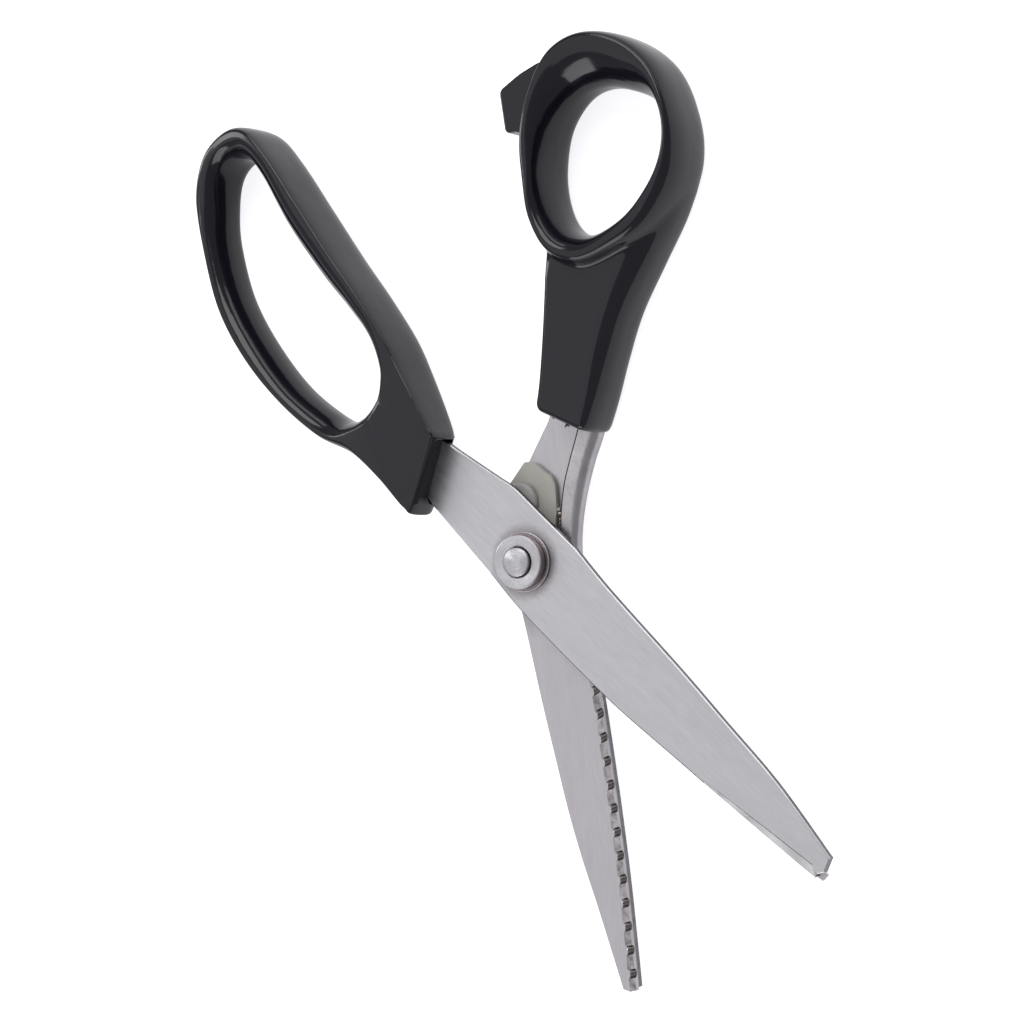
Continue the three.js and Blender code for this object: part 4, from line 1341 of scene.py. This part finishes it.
THUMB_RECESS = [(12.4, 36.4), (11, 33), (20.8, 26.6), (23, 31)]
THUMB_RECESS += [(20, 31 + MOUTH_DEPTH), (14, 34 + MOUTH_DEPTH)]
LIP_ROUND = 1.6
LIP_STEPS = 8


def rounded_mouth(sections, radius):
    """Rounds the front of an open skin: the first section turns in by the radius as it comes forward."""
    first = sections[0]
    middle, next_middle = (sum(ring, Vector()) / len(ring) for ring in sections[:2])
    ahead = (middle - next_middle).normalized()
    across = Vector((*(first[0] - middle).xy, 0)).normalized()
    flat = [Vector(((p - middle).dot(across), p.z)) for p in first]
    lip = []
    for i in range(LIP_STEPS + 1):
        angle = math.radians(90 * i / LIP_STEPS)
        turned_in = inset(flat, [radius * (1 - math.cos(angle))] * len(flat))
        back = ahead * radius * (1 - math.sin(angle))
        ring = []
        for q in turned_in:
            p = middle + across * q.x - back
            ring.append(Vector((p.x, p.y, q.y)))
        lip.append(ring)
    spacing = (middle - next_middle).length
    return lip[::-1] + sections[1 + int(radius / spacing):]


FILLET_GRAIN = 0.32         # size of the even mesh that the fillet is made in
FILLET_REACH = 5.0
FILLET_ROUNDS = 70
POLISH_ROUNDS = 14


def surface_of(piece):
    """A piece's surface, ready to be asked how near a point is to it."""
    corners = [vertex.co for vertex in piece.data.vertices]
    return BVHTree.FromPolygons(corners, [face.vertices for face in piece.data.polygons])


def fillet(piece, surface_a, surface_b):
    """Meshes a joined piece evenly and relaxes the crease where two surfaces meet into a soft fillet."""
    even = piece.modifiers.new("even", "REMESH")
    even.mode = "VOXEL"
    even.voxel_size = FILLET_GRAIN * MM
    settle(piece)
    crease = piece.vertex_groups.new(name="crease")
    for vertex in piece.data.vertices:
        farther = max(surface.find_nearest(vertex.co)[3] for surface in (surface_a, surface_b))
        nearness = 1 - farther / (FILLET_REACH * MM)
        if nearness > 0:
            crease.add([vertex.index], min(1.0, 1.5 * nearness), "REPLACE")
    for name, rounds, where in (("fillet", FILLET_ROUNDS, "crease"), ("polish", POLISH_ROUNDS, "")):
        relax = piece.modifiers.new(name, "SMOOTH")
        relax.factor = 0.5
        relax.iterations = rounds
        relax.vertex_group = where
    settle(piece)


def hole_cleared(piece):
    """Cuts away what of a piece would stand in the thumb's hole."""
    hole = [Vector((s[2], s[3])).lerp(Vector((s[0], s[1])), 0.25) for s in THUMB_STATIONS]
    return carve(piece, [block(smooth_line(hole, 90, "loop"), -1, HANDLE_TOP + 1)])


def spur():
    """The stop that meets the finger handle when the blades are closed."""
    line = softened([Vector(p) for p in SPUR_OUTLINE], 1.3)
    rings = [level(inset(line, [deep] * len(line)), z) for deep, z in SPUR_RINGS]
    return hole_cleared(skin("spur", rings, False, BLACK_PLASTIC))


def thumb_handle():
    """The thumb ring, its shank and its spur, with a mouth that the neck and the lower tang go into."""
    sections = handle_sections(THUMB_STATIONS, RING_STEPS, True, BOWL_FULLNESS)
    ring = skin("thumb_loop", sections, True, BLACK_PLASTIC)
    shank_sections = rounded_mouth(handle_sections(SHANK_STATIONS, SHANK_STEPS, False), LIP_ROUND)
    shank = hole_cleared(skin("shank", shank_sections, False, BLACK_PLASTIC))
    surfaces = surface_of(ring), surface_of(shank)
    carve(ring, [shank], "UNION")
    fillet(ring, *surfaces)
    carve(ring, [spur()], "UNION")
    recess = block(THUMB_RECESS, HANDLE_WALL, SHANK_HEIGHT - HANDLE_WALL)
    neck = [(row[2] + SLOT_GAP, row[3]) for row in NECK_ROWS[-3:]]
    (end_x, end_y), *side = LOWER_TANG
    tang = [(end_x + SLOT_GAP, end_y + SLOT_GAP)] + [(x - 2 * SLOT_GAP, y + SLOT_GAP) for x, y in side]
    slot = block([(24, 20)] + neck + tang, 0.4, LOWER_LAND_Z + SLOT_GAP)
    return carve(ring, [recess, slot])


place(shaded(thumb_handle(), 32), "lower_lever", "black_plastic", "thumb_handle")

# %% [markdown]
# ## Small traces of making
# Two things tell how the pair was made: beads of tack weld where the neck meets the plate, and slivers of
# plastic flash where the mould closed on the steel.

# %% Weld beads
BEAD_LEVEL = 0.9            # height of the beads' middles above the plate
# Each bead's x, y and radius.
BEADS = [(8.85, 11.2, 0.55), (9.05, 10.1, 0.62), (9.0, 8.9, 0.5), (9.1, 7.9, 0.58), (8.8, 6.6, 0.45)]


def weld_beads():
    """A short row of tacks, some way up the neck's inner side."""
    places = [(x, y, LOWER_FACE_Z + BEAD_LEVEL, radius) for x, y, radius in BEADS]
    return beads("weld_beads", places, WELD_STEEL)


place(shaded(weld_beads(), 60), "lower_lever", "ground_steel")


# %% Mould flash
# Each sliver's x, y, size and turn in degrees.
FLASH = [(13.2, 30.6, 0.8, -70), (9.8, 33.0, 0.5, -20), (11.4, 32.1, 0.35, 40)]

SLIVER = [(-1, 0.5), (1.1, 0.45), (0.3, 0.0), (0.5, -1.1), (-0.2, -0.3)]


def flash_sliver(x, y, size, turn):
    """A thin pointed scale of plastic that lies on the plate."""
    middle = Vector((x, y))
    spin = Matrix.Rotation(math.radians(turn), 2)
    arms = [spin @ Vector(p) * size for p in SLIVER]
    low = level([middle + arm for arm in arms], LOWER_FACE_Z + 0.02)
    high = level([middle + arm * 0.7 for arm in arms], LOWER_FACE_Z + 0.3)
    return low, high


def mould_flash():
    """All slivers as one piece."""
    points, faces = [], []
    for x, y, size, turn in FLASH:
        low, high = flash_sliver(x, y, size, turn)
        first = len(points)
        points += low + high
        count = len(low)
        for j in range(count):
            k = (j + 1) % count
            faces.append((first + j, first + k, first + count + k, first + count + j))
        faces += [tuple(range(first, first + count)), tuple(range(first + count, first + 2 * count))]
    return new_piece("mould_flash", points, faces, [BLACK_PLASTIC])


place(shaded(mould_flash()), "lower_lever", "black_plastic")

# %% [markdown]
# ## Floor and light
# A white sweep and large soft lights, as for a catalogue. Glossy black shows its form only by what it
# reflects, so one square light stands low in front, where the thumb loop's bowl mirrors it.

# %% Floor
FLOOR_DROP = 0.0002         # metres below the shears
FLOOR_REACH = 60            # metres to each side
FLOOR_GLOW = 0.43           # what the floor lends to the steel and plastic
FLOOR_WHITE = 0.85          # what the eye sees of it


def floor():
    """A white floor that can't be seen from below."""
    size = FLOOR_REACH / MM
    corners = [(-size, -size), (size, -size), (size, size), (-size, size)]
    piece = new_piece("floor", [(*p, -FLOOR_DROP / MM) for p in corners], [(0, 1, 2, 3)], [])
    material, tree = new_finish("white_floor", (0.6, 0.6, 0.6), 0.0, 0.8)
    shader = tree.nodes[PRINCIPLED]
    shader.inputs["Specular IOR Level"].default_value = 0.1
    shader.inputs["Emission Color"].default_value = (0.975, 0.965, 1, 1)
    path = tree.nodes.new("ShaderNodeLightPath")
    glow = spread(tree, path.outputs["Is Camera Ray"], 0.0, 1.0, FLOOR_GLOW, FLOOR_WHITE)
    tree.links.new(glow, shader.inputs["Emission Strength"])
    side = tree.nodes.new("ShaderNodeNewGeometry")
    tree.links.new(arithmetic(tree, "SUBTRACT", 1.0, side.outputs["Backfacing"]), shader.inputs["Alpha"])
    piece.data.materials.append(material)
    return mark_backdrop(piece)


floor()


# %% Lights
def softbox(name, location, aim, width, height, power):
    """A rectangular light at a place, facing another place. Power is in watts."""
    light = bpy.data.lights.new(name, "AREA")
    light.shape = "RECTANGLE"
    light.size, light.size_y = width, height
    light.energy = power
    lamp = bpy.data.objects.new(name, light)
    lamp.location = location
    lamp.rotation_euler = (Vector(aim) - Vector(location)).to_track_quat("-Z", "Y").to_euler()
    bpy.context.scene.collection.objects.link(lamp)


softbox("overhead", (-0.62, 0.0, 1.03), (0, 0, 0), 1.1, 1.3, 2.6)
softbox("front_square", (-0.16, -0.75, 0.36), (0.02, 0.1, 0.01), 0.80, 0.62, 3.9)
softbox("top_strip", (0.02, 0.75, 0.85), (0.0, 0.08, 0), 0.95, 0.50, 5.2)
softbox("back_strip", (0.25, 1.0, 0.36), (0, 0, 0), 1.3, 0.22, 1.7)
softbox("left_strip", (-0.8, 0.25, 0.3), (0, 0.05, 0), 0.14, 0.7, 1.2)

# %% Sky
SKY_GLOW = 0.30             # what the sky lends to the steel and plastic
SKY_WHITE = 1.05            # what the eye sees of it

world = bpy.data.worlds.new("studio")
world.use_nodes = True
sky_tree = world.node_tree
background = sky_tree.nodes["Background"]
background.inputs["Color"].default_value = (0.98, 0.98, 1.0, 1)
sky_path = sky_tree.nodes.new("ShaderNodeLightPath")
sky = spread(sky_tree, sky_path.outputs["Is Camera Ray"], 0.0, 1.0, SKY_GLOW, SKY_WHITE)
sky_tree.links.new(sky, background.inputs["Strength"])
bpy.context.scene.world = world
bpy.context.scene.view_settings.view_transform = "Standard"
